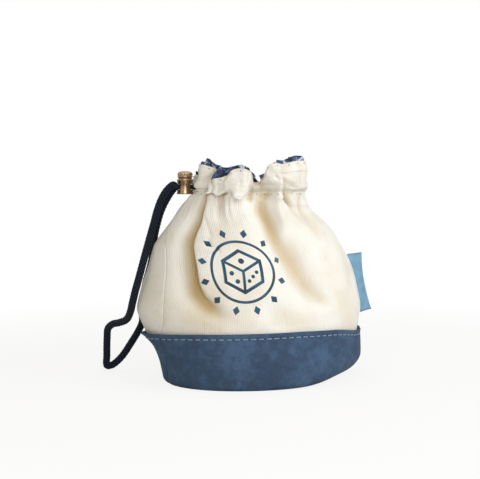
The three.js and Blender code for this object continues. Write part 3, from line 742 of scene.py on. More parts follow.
def canvas_finish(c):
    g = Finish("natural ribbed canvas")
    at, x, y = g.cloth()
    weave = g.weave(x, y, 1.1, 1)
    slub = g.noise(2.2, 4, .6, at=at, stretch=(1, .18, 1))
    cloud = g.noise(24, 2)
    # painted shade: the canvas turns to the warm shade colour in its folds and hollows, as the attribute from
    # make_canvas marks them; the cloud blotches below are random tone in the same colour
    painted_fold_shade = g.attribute("painted_fold_shade")
    base = g.colour(painted_fold_shade, tuple(c.canvas), tuple(c.canvas_shade_and_tone))
    base = g.colour(g.times(g.step(.35, .75, cloud), .25), base, tuple(c.canvas_shade_and_tone))
    base = g.colour(g.times(g.step(.5, .1, weave), .22), base, (.66, .57, .42), "MULTIPLY")
    base = g.colour(g.times(g.step(.55, .78, slub), .5), base, (.86, .8, .68), "MULTIPLY")
    speck = g.step(.755, .78, g.noise(1.4, 2, .5, at=at))
    base = g.colour(g.times(speck, .45), base, (.42, .34, .22), "MULTIPLY")
    ink = g.times(print_mask(g, x, y), g.attribute("print"))
    ink = g.times(ink, g.less(1.0, g.times(g.step(.2, .02, weave), .3)))
    tone = g.colour(g.step(.3, .7, g.noise(9, 3)), tuple(c.ink), tuple(c.ink_light))
    base = g.colour(ink, base, tone)
    relief = g.bump(weave, .22)
    relief = g.bump(slub, .12, relief)
    relief = g.bump(g.noise(.35, 2, .7), .05, relief)
    return g.made(base, .92, relief, sheen_weight=.25, sheen_roughness=.6, specular_ior_level=.2)


def suede_finish(c):
    g = Finish("blue nubuck")
    big, mid = g.noise(24, 4, .6), g.noise(5, 5, .65)
    grain = g.noise(.42, 3, .7)
    nap = g.math("MULTIPLY_ADD", big, .62, g.times(mid, .45))
    base = g.colour(g.step(.36, .68, nap), tuple(c.suede_dark), tuple(c.suede))
    base = g.colour(g.times(g.step(.5, .72, nap), .55), base, tuple(c.suede_light))
    base = g.colour(g.times(g.step(.62, .35, grain), .32), base, (.42, .46, .52), "MULTIPLY")
    # painted shade: the nubuck is darkened along the sunk line of the topstitching
    stitch_groove_shade = g.attribute("stitch_groove_shade")
    base = g.colour(g.times(stitch_groove_shade, .55), base, (.2, .24, .3), "MULTIPLY")
    cut = g.attribute("cut")
    base = g.colour(cut, base, tuple(c.suede_edge))
    relief = g.bump(mid, .18)
    relief = g.bump(grain, .12, relief)
    return g.made(base, g.math("MULTIPLY_ADD", nap, .12, .8), relief, sheen_weight=.08, sheen_roughness=.45,
                  sheen_tint=(.62, .75, .95), specular_ior_level=.15)


def lining_finish(c):
    """Marbled cotton print, navy with mid blue patches and thin pale veins."""
    g = Finish("marbled lining")
    _, x, y = g.cloth()
    warp = g.filled("ShaderNodeTexNoise", {"Scale": 90, "Detail": 3.0, "Vector": g.place()}).outputs["Color"]
    moved = g.filled("ShaderNodeVectorMath", {0: warp, 1: (.012, .012, .012), 2: g.place()},
                     operation="MULTIPLY_ADD")
    veins = g.filled("ShaderNodeTexVoronoi", {"Scale": 120, "Vector": moved.outputs[0]},
                     feature="DISTANCE_TO_EDGE")
    vein = g.less(1.0, g.step(.02, .075, veins.outputs["Distance"]))
    patch = g.noise(7, 4, .6)
    fine = g.noise(1.1, 3, .7)
    base = g.colour(g.step(.46, .6, g.math("MULTIPLY_ADD", fine, .25, g.times(patch, .8))),
                    tuple(c.lining), tuple(c.lining_blue))
    base = g.colour(g.times(vein, g.step(.45, .6, patch)), base, tuple(c.lining_pale))
    relief = g.bump(g.weave(x, y, .55, .55), .08)
    return g.made(base, .85, relief, sheen_weight=.15, sheen_roughness=.5, specular_ior_level=.25)


def cord_finish(c):
    g = Finish("braided navy cord")
    at, _, _ = g.cloth()
    # painted shade and painted light on the braid: the colour is nearly black where the braid's relief is
    # low, between the yarns, and lighter on the yarns' crowns
    high = g.step(.55, .98, g.attribute("relief"))
    fibre = g.noise(.5, 3, .7, at=at, stretch=(1.6, .5, 1))
    base = g.colour(high, tuple(v * .15 for v in c.cord), tuple(v * 1.6 for v in c.cord))
    base = g.colour(g.times(g.step(.5, .75, fibre), .5), base, tuple(min(1, v * 2.2) for v in c.cord))
    return g.made(base, .88, g.bump(fibre, .14), sheen_weight=.05, sheen_roughness=.5, specular_ior_level=.15)


def label_finish(c):
    g = Finish("bare woven label")
    _, x, y = g.cloth()
    weave = g.weave(x, y, .5, .42)
    wear = g.noise(6, 4, .6)
    base = g.colour(g.step(.35, .7, wear), tuple(c.label), tuple(min(1, v * 1.25) for v in c.label))
    base = g.colour(g.times(g.step(.35, .1, weave), .35), base, (.4, .45, .5), "MULTIPLY")
    base = g.colour(g.attribute("edge"), base, tuple(v * .7 for v in c.label))
    return g.made(base, .62, g.bump(weave, .09), sheen_weight=.2, sheen_roughness=.4, specular_ior_level=.35)


def brass_finish(c):
    g = Finish("antique brass")
    tarnish = g.noise(2.4, 4, .6)
    scratch = g.noise(.35, 2, .6, stretch=(1, 1, .12))
    base = g.colour(g.times(g.step(.45, .75, tarnish), .5), tuple(c.brass), tuple(c.brass_dark))
    rough = g.math("MULTIPLY_ADD", tarnish, .1, .16)
    return g.made(base, rough, g.bump(scratch, .003), metallic=1.0)


def steel_finish():
    g = Finish("spring steel")
    grain = g.noise(.6, 3)
    base = g.colour(grain, srgb(150, 153, 158), srgb(196, 198, 202))
    return g.made(base, g.math("MULTIPLY_ADD", grain, .15, .25), g.bump(grain, .01), metallic=1.0)


def thread_finish(name, tone):
    g = Finish(name)
    twist = g.noise(.3, 2, .6)
    base = g.colour(g.step(.35, .7, twist), tuple(v * .6 for v in tone), tuple(tone))
    return g.made(base, .7, g.bump(twist, .05), sheen_weight=.15, specular_ior_level=.3)


# Cloth pieces
def panel_places(columns):
    """Places across a panel, from seam to seam."""
    return np.linspace(SEAM_GAP, 1 - SEAM_GAP, columns)


def grid_of(columns, rows):
    """Two grids, with one row for each of rows."""
    return [np.array(v) for v in np.broadcast_arrays(columns[None], rows[:, None])]


def cloth_surface(side, columns, body_rows, head_rows):
    """Grid over one canvas panel: place, row and what surface_at gives there."""
    hem = np.array([.965, .98, .99, .996, 1])
    s = np.concatenate([np.linspace(0, 1, body_rows), 1 + np.linspace(0, .955, head_rows)[1:], 1 + hem])
    u, s = grid_of(panel_places(columns), s)
    return (u, s, *surface_at(side, u, s))


def surface_at(side, u, s):
    """Outer face of the canvas with all its detail: angle, height, offset, points, and 1 close to the rim."""
    t, z, off = canvas_point(side, u, s)
    rim = CINCH_Z + curve(u, RIM[side][:, 0], RIM[side][:, 2])
    body = 1 - smooth(.98, 1.0, s)
    off = off - creases(side, u, z) * body * smooth(34, 42, z)
    free = smooth(0, .05, np.minimum(u, 1 - u))
    off = off + .8 * free * ripple(u, z, 3 if side == "front" else 8) * smooth(34, 60, z) * (.35 + .65 * body)
    off = off + .35 * free * ripple(u, z, 21, 9, 14, 32, 20.0) * smooth(92, 112, z)
    if side == "front":
        off = off - header_folds(u, np.where(s > 1, CINCH_Z + (s - 1) * (rim - CINCH_Z), z))
    off = np.where((s > .95) & (z < HEM_TOP), np.maximum(off, -HEM_IN - .5), off)
    from_seam = np.minimum(u, 1 - u) * PANEL_W
    seam_pull = .14 * np.exp(-(from_seam / 1.2) ** 2)
    channel_pull = .3 * np.exp(-((s - CHANNEL_ROW) / .009) ** 2)
    rim_pull = .35 * np.exp(-((rim - z - RIM_HEM) / .55) ** 2) * (s > 1)
    off = off - seam_pull - channel_pull - rim_pull
    near_rim = np.clip(1 - (rim - z) / (CANVAS / 2), 0, 1) * (s > 1.5)
    points = place(t, plain_r(t, z) + off, z)
    return t, z, off, points, near_rim


def blurred(a, rows, columns):
    """Running mean of a grid, over twice that many rows and columns."""
    for axis, n in ((0, rows), (1, columns)):
        size = a.shape[axis]
        pad = np.take(a, np.clip(np.arange(-n, size + n + 1), 0, size - 1), axis=axis)
        total = np.cumsum(pad, axis=axis)
        past, before = (np.take(total, np.arange(size) + k, axis=axis) for k in (2 * n, 0))
        a = (past - before) / (2 * n)
    return a


PRINT_U, PRINT_Z = .34, 71.6    # middle of the printed emblem on the front panel


def make_canvas(side, columns, body_rows, head_rows, material):
    """One gathered canvas panel, with painted shade that darkens and warms its hollows and folds, and rounded
    over at the rim.
    """
    u, s, t, z, off, p, near_rim = cloth_surface(side, columns, body_rows, head_rows)
    n = outward(p)
    radial = place(t, plain_r(t, z) + off - CANVAS, z)
    inner = mix(radial, p - n * CANVAS, smooth(.99, 1.12, s)[..., None])
    round_in = (1 - np.sqrt(1 - near_rim ** 2))[..., None] * .5
    outer, inner = mix(p, inner, round_in), mix(inner, p, round_in)
    # painted shade: the colour is darkened and warmed where the cloth lies below its blurred surroundings and
    # in deep folds, less so on the header
    hollow = np.maximum(.5 * (blurred(off, 9, 18) + blurred(off, 16, 40)) - off, 0)
    painted_fold_shade = np.clip((.16 * hollow + .05 * np.maximum(-off - 2, 0)) * np.where(s < 1, 1, .45), 0, 1)
    if side == "front":    # painted shade: the foot of the deep fold lies in a wide soft hollow, so a broad patch of shade is painted over it
        foot = np.exp(-((u - .15) / .085) ** 2 - ((z - 47) / 15) ** 2)
        painted_fold_shade = np.clip(painted_fold_shade + .5 * foot, 0, 1)
    column = int(np.argmin(abs(u[0] - PRINT_U)))
    uv = cloth_uv(p, column)
    row = int(np.argmin(abs(z[:, column] - PRINT_Z)))
    uv = uv - uv[row, column]
    on_print = 1.0 if side == "front" else 0.0
    attributes = {"painted_fold_shade": (painted_fold_shade, 0), "print": (on_print, 0)}
    ob = shell("canvas_" + side + "_cloth", outer, inner, uv, attributes)
    finished(ob, material, "pouch", "canvas", "canvas_" + side)


# how far the lining stands above the canvas rim
LINING_UP = {
    "front": np.array([[0, 1.2], [.126, .8], [.167, 2.2], [.209, 3.4], [.235, 2.6], [.272, 1.6], [.345, 2.4],
                       [.419, 2.4], [.471, 1.2], [.513, .6], [.576, .3], [.628, 1], [.691, 2.6], [.753, 3.4],
                       [.816, 3.2], [.869, .8], [1, .8]]),
    "back": np.array([[0, .8], [.5, 1.4], [.7, 2], [.85, 1.2], [1, 1.2]]),
}


def make_lining(side, columns, body_rows, head_rows, material):
    """One loose panel of the lining, which stands up behind the canvas rim."""
    u, s, t, z, off, p, _ = cloth_surface(side, columns, body_rows, head_rows)
    n = outward(p)
    z_up = z + curve(u, LINING_UP[side][:, 0], LINING_UP[side][:, 1]) * smooth(1.55, 2, s)
    r = lining_r(t, z_up, plain_r(t, z) + off)
    wave = .35 * ripple(u, z, 31 if side == "front" else 47, 8, 6, 18, 25.0)
    r = r + np.minimum(wave, 0) * (s < .9)
    outer, inner = place(t, r, z_up), place(t, r - LINING, z_up)
    share = smooth(1.5, 1.8, s)[..., None]
    rise = np.stack([0 * z, 0 * z, z_up - z], -1)
    outer = mix(outer, p - n * (CANVAS + .25) + rise, share)
    inner = mix(inner, p - n * (CANVAS + .25 + LINING) + rise, share)
    low = np.linspace(0, 1, 22, endpoint=False)[:, None]
    u0 = u[:1]
    t0 = angle_at(side, u0, BAND_H + 0 * u0)
    z_low = mix(LINING_LOW, band_top(t0) - OVERLAP, low)
    t_low = angle_at(side, u0, z_low)
    plain = plain_r(t_low, z_low) - tuck(t_low, z_low)
    r_low = lining_r(t_low, z_low, plain) + .3 * np.minimum(ripple(u0, z_low, 5), 0)
    outer = np.concatenate([place(t_low, r_low, z_low), outer])
    inner = np.concatenate([place(t_low, r_low - LINING, z_low), inner])
    uv = cloth_uv(outer, columns // 2)
    ob = shell("lining_" + side + "_cloth", outer, inner, uv, {})
    finished(ob, material, "pouch", "lining", "lining_" + side)


def band_surface(side, u, s):
    """Both faces of the suede band, with its lip standing off at the left seam, and how far below its top."""
    t0 = angle_at(side, u, BAND_H + 0 * u)
    top = band_top(t0)
    z = mix(BAND_LOW, top, s)
    t = angle_at(side, u, z)
    down = top - z
    lip = bell(degrees(t) + 84, 26, 26)
    r = band_r(t, z) + .35 * smooth(3, 0, down) + 2.4 * lip * np.exp(-down / 2.2)
    r = r - 1.4 * lip * bell(down - 9, 5, 7)
    r = r + .45 * ripple(u, z, 12 if side == "front" else 17, 7, 1.5, 6, 45.0) * smooth(2, 9, z)
    r = r - .32 * np.exp(-((down - STITCH_DOWN) / .5) ** 2)
    from_seam = np.minimum(u, 1 - u) * PANEL_W
    r = r - 1.0 * np.exp(-(from_seam / 1.5) ** 2)
    return place(t, r, z), place(t, r - SUEDE, z), down


def make_band(side, columns, material):
    """One panel of the suede band, with its cut upper edge, the sunk line of its stitches, and painted shade
    along that line.
    """
    rows = np.concatenate([np.linspace(0, .12, 12), np.linspace(.12, .84, 44)[1:],
                           np.linspace(.84, .98, 18)[1:], [.986, .991, .995, .998, 1]])
    u, s = grid_of(panel_places(columns), rows)
    outer, inner, down = band_surface(side, u, s)
    edge = np.clip(1 - down / .6, 0, 1)
    round_in = (1 - np.sqrt(1 - edge ** 2))[..., None] * .42
    uv = cloth_uv(outer, columns // 2)
    outer, inner = mix(outer, inner, round_in), mix(inner, outer, round_in)
    # painted shade along the sunk line of the topstitching
    stitch_groove_shade = np.exp(-((down - STITCH_DOWN) / .42) ** 2)
    attributes = {"stitch_groove_shade": (stitch_groove_shade, 0), "cut": (smooth(.35, 0, down), 1)}
    ob = shell("band_" + side + "_suede", outer, inner, uv, attributes)
    finished(ob, material, "pouch", "suede", "band_" + side)


def make_disc(name, low, high, inset, material, slot, node):
    """Flat round piece under the pouch, with its edge rounded over."""
    count, flat, edge = 180, 30, 9
    t = 2 * np.pi * np.arange(count)[None] / count
    mid, half = (low + high) / 2, (high - low) / 2
    turn = np.linspace(-90, 90, edge) * DEG
    share = np.concatenate([np.linspace(.04, .97, flat), np.ones(edge), np.linspace(.97, .04, flat)])[:, None]
    inward = np.concatenate([np.full(flat, half), half * (1 - np.cos(turn)), np.full(flat, half)])[:, None]
    z = np.concatenate([np.full(flat, low), mid + half * np.sin(turn), np.full(flat, high)])[:, None]
    reach = band_r(t, max(low, BAND_LOW) + 0 * t) - SUEDE - inset
    rings = place(t, (reach - inward) * share, z + 0 * t)
    poles = np.array([place(0.0, 0.0, float(level)) for level in (low, high)]).reshape(2, 3)
    ob = closed_tube(name, rings, poles, np.vstack([rings.reshape(-1, 3), poles])[:, :2])
    finished(ob, material, "pouch", slot, node)
    wide, deep = BODY_W * float(section(0.0, 2)) * MM, BODY_D * float(section(0.0, 3)) * MM


LABEL_LOW, LABEL_HIGH = 40.5, 78     # where the label is caught in the seam
LABEL_REACH, LABEL_FLARE = 64.2, 6.8 # how far out its free edge stands, and how much more at its foot


def make_label(material):
    """Bare woven label caught in the right side seam."""
    w, s = grid_of(np.linspace(0, 1, 54), np.linspace(0, 1, 90))
    z = mix(LABEL_LOW, LABEL_HIGH, s)
    t = seam_right(z) * DEG
    r = plain_r(t, z) + .45
    x0, y0 = centre_x(z) + r * np.sin(t), -r * np.cos(t)
    free = LABEL_REACH + LABEL_FLARE * (1 - s) ** 2
    sway = .8 * np.sin(np.pi * w) + .35 * np.sin(5 * s + 2.5 * w) * w
    x, y, up = mix(x0, free, w), y0 + 2.5 * w + sway, z + mix(1.9, 1.1, s) * w
    thick = mix(.7, .5, smooth(.1, .0, np.minimum.reduce([s, 1 - s, 1 - w])))
    front, back = turned(x, y, up), turned(x, y + thick, up)
    edge = smooth(.05, .02, np.minimum.reduce([s * 1.8, (1 - s) * 1.8, 1 - w]))
    ob = shell("woven_label_cloth", front, back, cloth_uv(front, 0), {"edge": (edge, edge)})
    finished(ob, material, "pouch", "label", "woven_label")


# Cord: where the free loop goes, in the heading of the sections
LOOP = [
    [-54.9, -9.5, 122.1], [-58.6, -9.5, 119.2], [-62.2, -9.5, 113.6], [-65, -9.6, 106.4],
    [-67.1, -10.5, 98.4], [-69.2, -13, 90.4], [-71.2, -17, 82.2], [-73.2, -20.5, 73.9],
    [-75.4, -23, 65.1], [-77.6, -23.5, 57.2], [-79.7, -20, 49.7], [-82, -13, 42.6], [-85.4, -5, 37],
    [-90.4, 1, 34.4], [-95.6, 6, 32.6], [-98.9, 9.5, 29.2], [-99.8, 12, 23.1], [-100.6, 16, 11],
    [-100.9, 20, 3.4], [-97.9, 20.6, 3.6], [-91.8, 19, 8.8],
    [-86.1, 18, 16.8], [-77.8, 19.5, 31.9], [-77.8, 20.5, 38.6], [-77.2, 19.5, 48], [-74.9, 17, 58.5],
    [-71.4, 14, 70.5], [-68.9, 9, 82.7], [-67.9, 3, 90], [-65.9, -1, 97.5], [-63.4, -3.5, 105.3],
    [-59.5, -4.6, 113.3], [-55.2, -4.6, 119.4],
]
NIP_W, NIP_H = 1.66, 1.46        # half width and height of the cord where the lock nips it
NIP_AT = 1.74                    # the strand's middle, to each side of the lock's axis
NIP_IN, NIP_OUT = 35.3, 44.4     # the nipped run, measured out from the neck's middle


def make_cords(material):
    """The free loop through the lock, and the stretch inside the header channel."""
    full, nipped = [CORD_R, CORD_R], [NIP_W, NIP_H]
    points = [along_exit(EXIT_D, 2.5, EXIT_Z), along_exit(NIP_IN, NIP_AT, EXIT_Z),
              along_exit(NIP_OUT, NIP_AT, EXIT_Z), along_exit(46.6, 2.2, EXIT_Z + .5)]
    radii = [full, nipped, nipped, [CORD_R * .9, CORD_R * .9]]
    points += [turned(*p) for p in LOOP]
    radii += [full] * len(LOOP)
    points += [along_exit(NIP_OUT + .2, -NIP_AT, EXIT_Z), along_exit(NIP_IN, -NIP_AT, EXIT_Z),
               along_exit(EXIT_D, -2.5, EXIT_Z)]
    radii += [nipped, nipped, full]
    route, radius = through(points, radii, .33)
    loop = strand("drawcord_loop_braid", route, radius[:, 0], radius[:, 1], 48, .2)
    finished(loop, material, "pouch", "cord", "drawcord_loop")
    t = EXIT_T + mix(15 * DEG, 345 * DEG, np.linspace(0, 1, 35))
    ends = ((EXIT_D - GAP, 2.5), (EXIT_D - 2.3, 3.1), (EXIT_D - 3.6, 4.9))
    lead = [[along_exit(d, side * beside, EXIT_Z) for d, beside in ends] for side in (1, -1)]
    points = lead[0] + list(place(t, ring_r(t), ring_z(t))) + lead[1][::-1]
    line, radius = through(points, [full] * len(points), .6)
    ring = strand("drawcord_channel_braid", line, radius[:, 0], radius[:, 1], 32, .1)
    finished(ring, material, "pouch", "cord", "drawcord_channel")
    return loop, route


# Cord lock; heights are measured from its middle
BARREL_H = 9.3
BARREL_R = 5.15          # the barrel's two end flanges
WAIST_R = 4.9            # between them, and a little less half way
BORE_R = 4.4
FLOOR_T = .6             # the barrel's floor
STEM_R = 4.25
STEM_LOW = -2.7          # foot of the plunger's stem
PRESS = .9               # the plunger's travel
CAP_GAP = .15            # left under the cap when it is pressed home
CAP_H = 4.2
SPRING_W, SPRING_T = 1.4, .2     # width and thickness of the wave spring's strip
SLOT_W = 7.2             # cross slot for the cord
NIP_Z = EXIT_Z - LOCK_Z  # the cord's height in the lock
NOTCHES, NOTCH_IN = 24, .22      # round the cap


def lathe(name, profile, count=96, notched=None):
    """Turned piece from a closed profile of radius and height that starts and ends on the axis."""
    profile = np.array(profile, float)
    a = 2 * np.pi * np.arange(count) / count
    r, z = (profile[1:-1, k][:, None] + 0 * a for k in (0, 1))
    if notched:
        low, high = notched
        r = r - np.where((z > low) & (z < high), NOTCH_IN * (.5 + .5 * np.cos(NOTCHES * a)), 0)
    x, y, level = along_exit(LOCK_D, 0, LOCK_Z)
    rings = np.stack([x + r * np.cos(a), y + r * np.sin(a), level + z], -1)
    return closed_tube(name, rings, [[x, y, level + profile[0, 1]], [x, y, level + profile[-1, 1]]])


def cut_across(ob, low, high):
    """Cuts the cord's cross slot out of a turned piece and rounds its edges."""
    half = SLOT_W / 2
    corners = [along_exit(LOCK_D + d, a, LOCK_Z + h) for h in (low, high) for d, a in
               ((-8, -half), (8, -half), (8, half), (-8, half))]
    faces = [(3, 2, 1, 0), (4, 5, 6, 7), (0, 1, 5, 4), (1, 2, 6, 5), (2, 3, 7, 6), (3, 0, 4, 7)]
    verts = np.array(corners)
    cutter = mesh_object("slot_cutter", verts, face_out(verts, np.array(faces)))
    cut = ob.modifiers.new("slot", "BOOLEAN")
    cut.operation, cut.solver, cut.object = "DIFFERENCE", "EXACT", cutter
    bevel = ob.modifiers.new("worn edges", "BEVEL")
    bevel.width, bevel.segments, bevel.limit_method, bevel.angle_limit = .09 * MM, 2, "ANGLE", 35 * DEG
    me = bpy.data.meshes.new_from_object(ob.evaluated_get(bpy.context.evaluated_depsgraph_get()))
    ob.modifiers.clear()
    ob.data = me
    me.polygons.foreach_set("use_smooth", [True] * len(me.polygons))
    me.set_sharp_from_angle(angle=38 * DEG)
    bpy.data.objects.remove(cutter)


def make_spring(steel):
    """Wave spring under the plunger: a flat ring with three waves."""
    low, high = (np.array(corner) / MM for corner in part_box("lock_spring"))
    outer, swing = (high[0] - low[0]) / 2, (high[2] - low[2] - SPRING_T) / 2
    a = np.linspace(0, 2 * np.pi, 72, endpoint=False)
    verts = []
    for r, end in ((outer - SPRING_W, -1), (outer, -1), (outer, 1), (outer - SPRING_W, 1)):
        ring = np.stack([r * np.cos(a), r * np.sin(a), swing * np.cos(3 * a) + end * SPRING_T / 2], -1)
        verts.append((low + high) / 2 + ring)
    verts = np.vstack(verts)
    quads = face_out(verts, grid_faces(len(a), 5, closed=True) % len(verts))
    ob = mesh_object("lock_spring_wave", verts, quads)
    finished(ob, steel, "pouch", "spring_steel", "lock_spring")
    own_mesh(ob)
    return ob


def make_lock(brass, steel):
    """Barrel, plunger with its cap, and spring."""
    h = BARREL_H / 2
    steps = 12
    waist = [[WAIST_R - .12 * math.sin(math.pi * k / steps), mix(-h + 1.5, h - 1.5, k / steps)]
             for k in range(steps + 1)]
    barrel = lathe("lock_barrel_turned", [
        [0, -h], [BARREL_R - .2, -h], [BARREL_R, -h + .25], [BARREL_R, -h + .9], *waist, [BARREL_R, h - .9],
        [BARREL_R, h - .25], [BARREL_R - .2, h], [BORE_R, h], [BORE_R, -h + FLOOR_T], [0, -h + FLOOR_T]])
    cut_across(barrel, NIP_Z - NIP_H - .3, NIP_Z + NIP_H + .3)
    finished(barrel, brass, "pouch", "lock_metal", "lock_barrel")
    cap = h + PRESS + CAP_GAP
    crown = [[4.7 * math.cos(a), cap + 2.6 + 1.6 * math.sin(a)] for a in np.linspace(.25, 1.35, 6)]
    plunger = lathe("lock_plunger_turned", [
        [0, STEM_LOW], [STEM_R, STEM_LOW], [STEM_R, cap], [4.5, cap], [4.8, cap + .4], [4.8, cap + .95],
        [4.5, cap + 1.2], [4.5, cap + 1.4], [4.78, cap + 1.65], [4.72, cap + 2.5], *crown, [0, cap + CAP_H]],
        notched=(cap + 1.5, cap + 3.2))
    cut_across(plunger, NIP_Z - NIP_H - .25, NIP_Z + NIP_H + PRESS + .55)
    finished(plunger, brass, "plunger", "lock_metal", "lock_plunger")
    return barrel, plunger, make_spring(steel)


# Stitches
# length of a thread, its radius, how far it stands up and the pitch of its row, in mm
BAND_STITCH = (3.3, .38, .8, 4.7)
RIM_STITCH = (.8, .22, .26, 7.4)
CHANNEL_STITCH = (*RIM_STITCH[:3], 5.6)
SEAM_FREE = 2            # a row ends this far from the seam


def stitch_tree():
    """Geometry nodes that set one thread at each point, bowed along its run and sunk at both ends."""
    tree = bpy.data.node_groups.new("Stitches", "GeometryNodeTree")
    face = tree.interface
    face.new_socket("Geometry", in_out="INPUT", socket_type="NodeSocketGeometry")
    sizes = {"Stitch length": .003, "Thread radius": .0003, "Rise": .0004, "Unevenness": .08}
    for name, default in sizes.items():
        face.new_socket(name, in_out="INPUT", socket_type="NodeSocketFloat").default_value = default
    face.new_socket("Seed", in_out="INPUT", socket_type="NodeSocketInt").default_value = 5
    face.new_socket("Material", in_out="INPUT", socket_type="NodeSocketMaterial")
    face.new_socket("Geometry", in_out="OUTPUT", socket_type="NodeSocketGeometry")
    g = Nodes(tree)
    given = g.node("NodeGroupInput").outputs
    length, radius = given["Stitch length"], given["Thread radius"]
    sunk = g.times(radius, -.6)
    start, top, end = (g.filled("ShaderNodeCombineXYZ", {0: x, 2: z}).outputs[0] for x, z in
                       ((g.times(length, -.5), sunk), (0.0, given["Rise"]), (g.times(length, .5), sunk)))
    bow = g.filled("GeometryNodeCurveQuadraticBezier", {
        "Resolution": 6, "Start": start, "Middle": top, "End": end})
    ring = g.filled("GeometryNodeCurvePrimitiveCircle", {"Resolution": 7, "Radius": radius})
    thread = g.filled("GeometryNodeCurveToMesh", {"Fill Caps": True, "Curve": bow.outputs[0],
                                                  "Profile Curve": ring.outputs[0]})
    run, up = (g.filled("GeometryNodeInputNamedAttribute", {"Name": name}, data_type="FLOAT_VECTOR")
               for name in ("run", "up"))
    aim = g.filled("FunctionNodeAxesToRotation", {0: up.outputs[0], 1: run.outputs[0]},
                   primary_axis="Z", secondary_axis="X")
    size = g.filled("FunctionNodeRandomValue", {"Seed": given["Seed"]}, data_type="FLOAT")
    low, high = [socket for socket in size.inputs if socket.type == "VALUE"][:2]
    g.put(low, g.less(1, given["Unevenness"]))
    g.put(high, 1)
    scale = [socket for socket in size.outputs if socket.type == "VALUE"][0]
    sown = g.filled("GeometryNodeInstanceOnPoints", {
        "Points": given["Geometry"], "Instance": thread.outputs[0], "Rotation": aim.outputs[0],
        "Scale": scale})
    real = g.filled("GeometryNodeRealizeInstances", {0: sown.outputs[0]})
    dyed = g.filled("GeometryNodeSetMaterial", {"Geometry": real.outputs[0], "Material": given["Material"]})
    g.filled("NodeGroupOutput", {0: dyed.outputs[0]})
    return tree


def sew(name, rows, stitch, material, slot):
    """One object for all the threads of a colour; rows hold points, runs and ups in mm."""
    me = bpy.data.meshes.new(name)
    me.from_pydata((np.vstack([r[0] for r in rows]) * MM).tolist(), [], [])
    for key, k in (("run", 1), ("up", 2)):
        layer = me.attributes.new(key, "FLOAT_VECTOR", "POINT")
        layer.data.foreach_set("vector", np.vstack([r[k] for r in rows]).ravel())
    ob = linked(name, me)
    tree = bpy.data.node_groups.get("Stitches") or stitch_tree()
    mod = ob.modifiers.new("stitches", "NODES")
    mod.node_group = tree
    socket = {item.name: item.identifier for item in tree.interface.items_tree if item.in_out == "INPUT"}
    for key, size in zip(("Stitch length", "Thread radius", "Rise"), stitch):
        mod[socket[key]] = size * MM
    mod[socket["Material"]] = material
    done = bpy.data.meshes.new_from_object(ob.evaluated_get(bpy.context.evaluated_depsgraph_get()))
    ob.modifiers.clear()
    ob.data = done
    for key in ("run", "up"):
        if key in done.attributes:
            done.attributes.remove(done.attributes[key])
    done.polygons.foreach_set("use_smooth", [True] * len(done.polygons))
    return finished(ob, material, "pouch", slot)


def spaced(points, ups, pitch):
    """Even places along a line of points, with the direction of the run and the way out of the cloth."""
    step = np.linalg.norm(np.diff(points, axis=0), axis=1)
    run = np.concatenate([[0], np.cumsum(step)])
    even = np.arange(SEAM_FREE + pitch / 2, run[-1] - SEAM_FREE, pitch)

    def at(values, where):
        return np.stack([np.interp(where, run, values[:, k]) for k in range(3)], -1)

    here, way = at(points, even), at(points, even + .4) - at(points, even - .4)
    way /= np.linalg.norm(way, axis=1, keepdims=True)
    return here, way, at(ups, even)


def canvas_row(side, row):
    """Points and normals along the canvas at one of its rows, or at the rim's hem where row is None."""
    u = panel_places(700)[None]
    if row is None:
        row = 2 - RIM_HEM / curve(u, RIM[side][:, 0], RIM[side][:, 2])
    s = row + np.array([-.006, 0, .006])[:, None] + 0 * u
    p = surface_at(side, u + 0 * s, s)[3]
    return p[1], outward(p)[1]


def band_row(side):
    """Points and normals along the band's topstitching."""
    u = panel_places(600)[None]
    top = band_top(angle_at(side, u, BAND_H + 0 * u))
    s = (top - STITCH_DOWN + np.array([-.3, 0, .3])[:, None] - BAND_LOW) / (top - BAND_LOW)
    p = band_surface(side, u + 0 * s, s)[0]
    return p[1], outward(p)[1]


def make_stitches(light, dark):
    """The band's topstitching, and the small stitches of the rim and of the channel."""
    rows = [spaced(*band_row(side), BAND_STITCH[3]) for side in ("front", "back")]
    sew("band_stitches", rows, BAND_STITCH, light, "cord")
    rows = [spaced(*canvas_row(side, row), stitch[3]) for side in ("front", "back")
            for row, stitch in ((None, RIM_STITCH), (CHANNEL_ROW, CHANNEL_STITCH))]
    sew("header_stitches", rows, RIM_STITCH, dark, "cord")


# Stage
CAMERA_AT = (-.2698, -.5728, .122)
CAMERA_TILT = 86.88 * DEG
LOOK_AT = (0, 0, 60)     # what the lamps point at, in mm
LAMP_SIZE = .5
SKY = (1, .88, .66)      # colour of the light from all round
CARD = [(-250, -300), (1100, -300), (1100, 700), (-250, 700)]    # across and up
CARD_Y = -900
FLOOR_REACH = 6


def area_lamp(name, at, size, power, colour):
    data = bpy.data.lights.new(name, "AREA")
    data.shape, data.size, data.energy, data.color = "DISK", size, power, colour
    ob = linked(name, data)
    at, aim = Vector(turned(*at) * MM), Vector(turned(*LOOK_AT) * MM)
    ob.location = at
    ob.rotation_euler = (aim - at).to_track_quat("-Z", "Y").to_euler()


def make_camera():
    cam = bpy.data.cameras.new("camera")
    cam.lens, cam.sensor_width = 75, 36
    ob = linked("camera", cam)
    ob.location = CAMERA_AT
    ob.rotation_euler = Euler((CAMERA_TILT, 0, -24 * DEG))
    bpy.context.scene.camera = ob


def make_card():
    """A black card behind the camera, which only shiny surfaces see."""
    card = bpy.data.meshes.new("dark card")
    card.from_pydata([tuple(turned(x, CARD_Y, z) * MM) for x, z in CARD], [], [(0, 1, 2, 3)])
    g = Finish("black cloth")
    g.put(g.shader.inputs["Base Color"], (.01, .01, .01))
    card.materials.append(g.mat)
    ob = linked("dark card", card)
    ob.visible_camera = ob.visible_diffuse = ob.visible_shadow = ob.visible_transmission = False


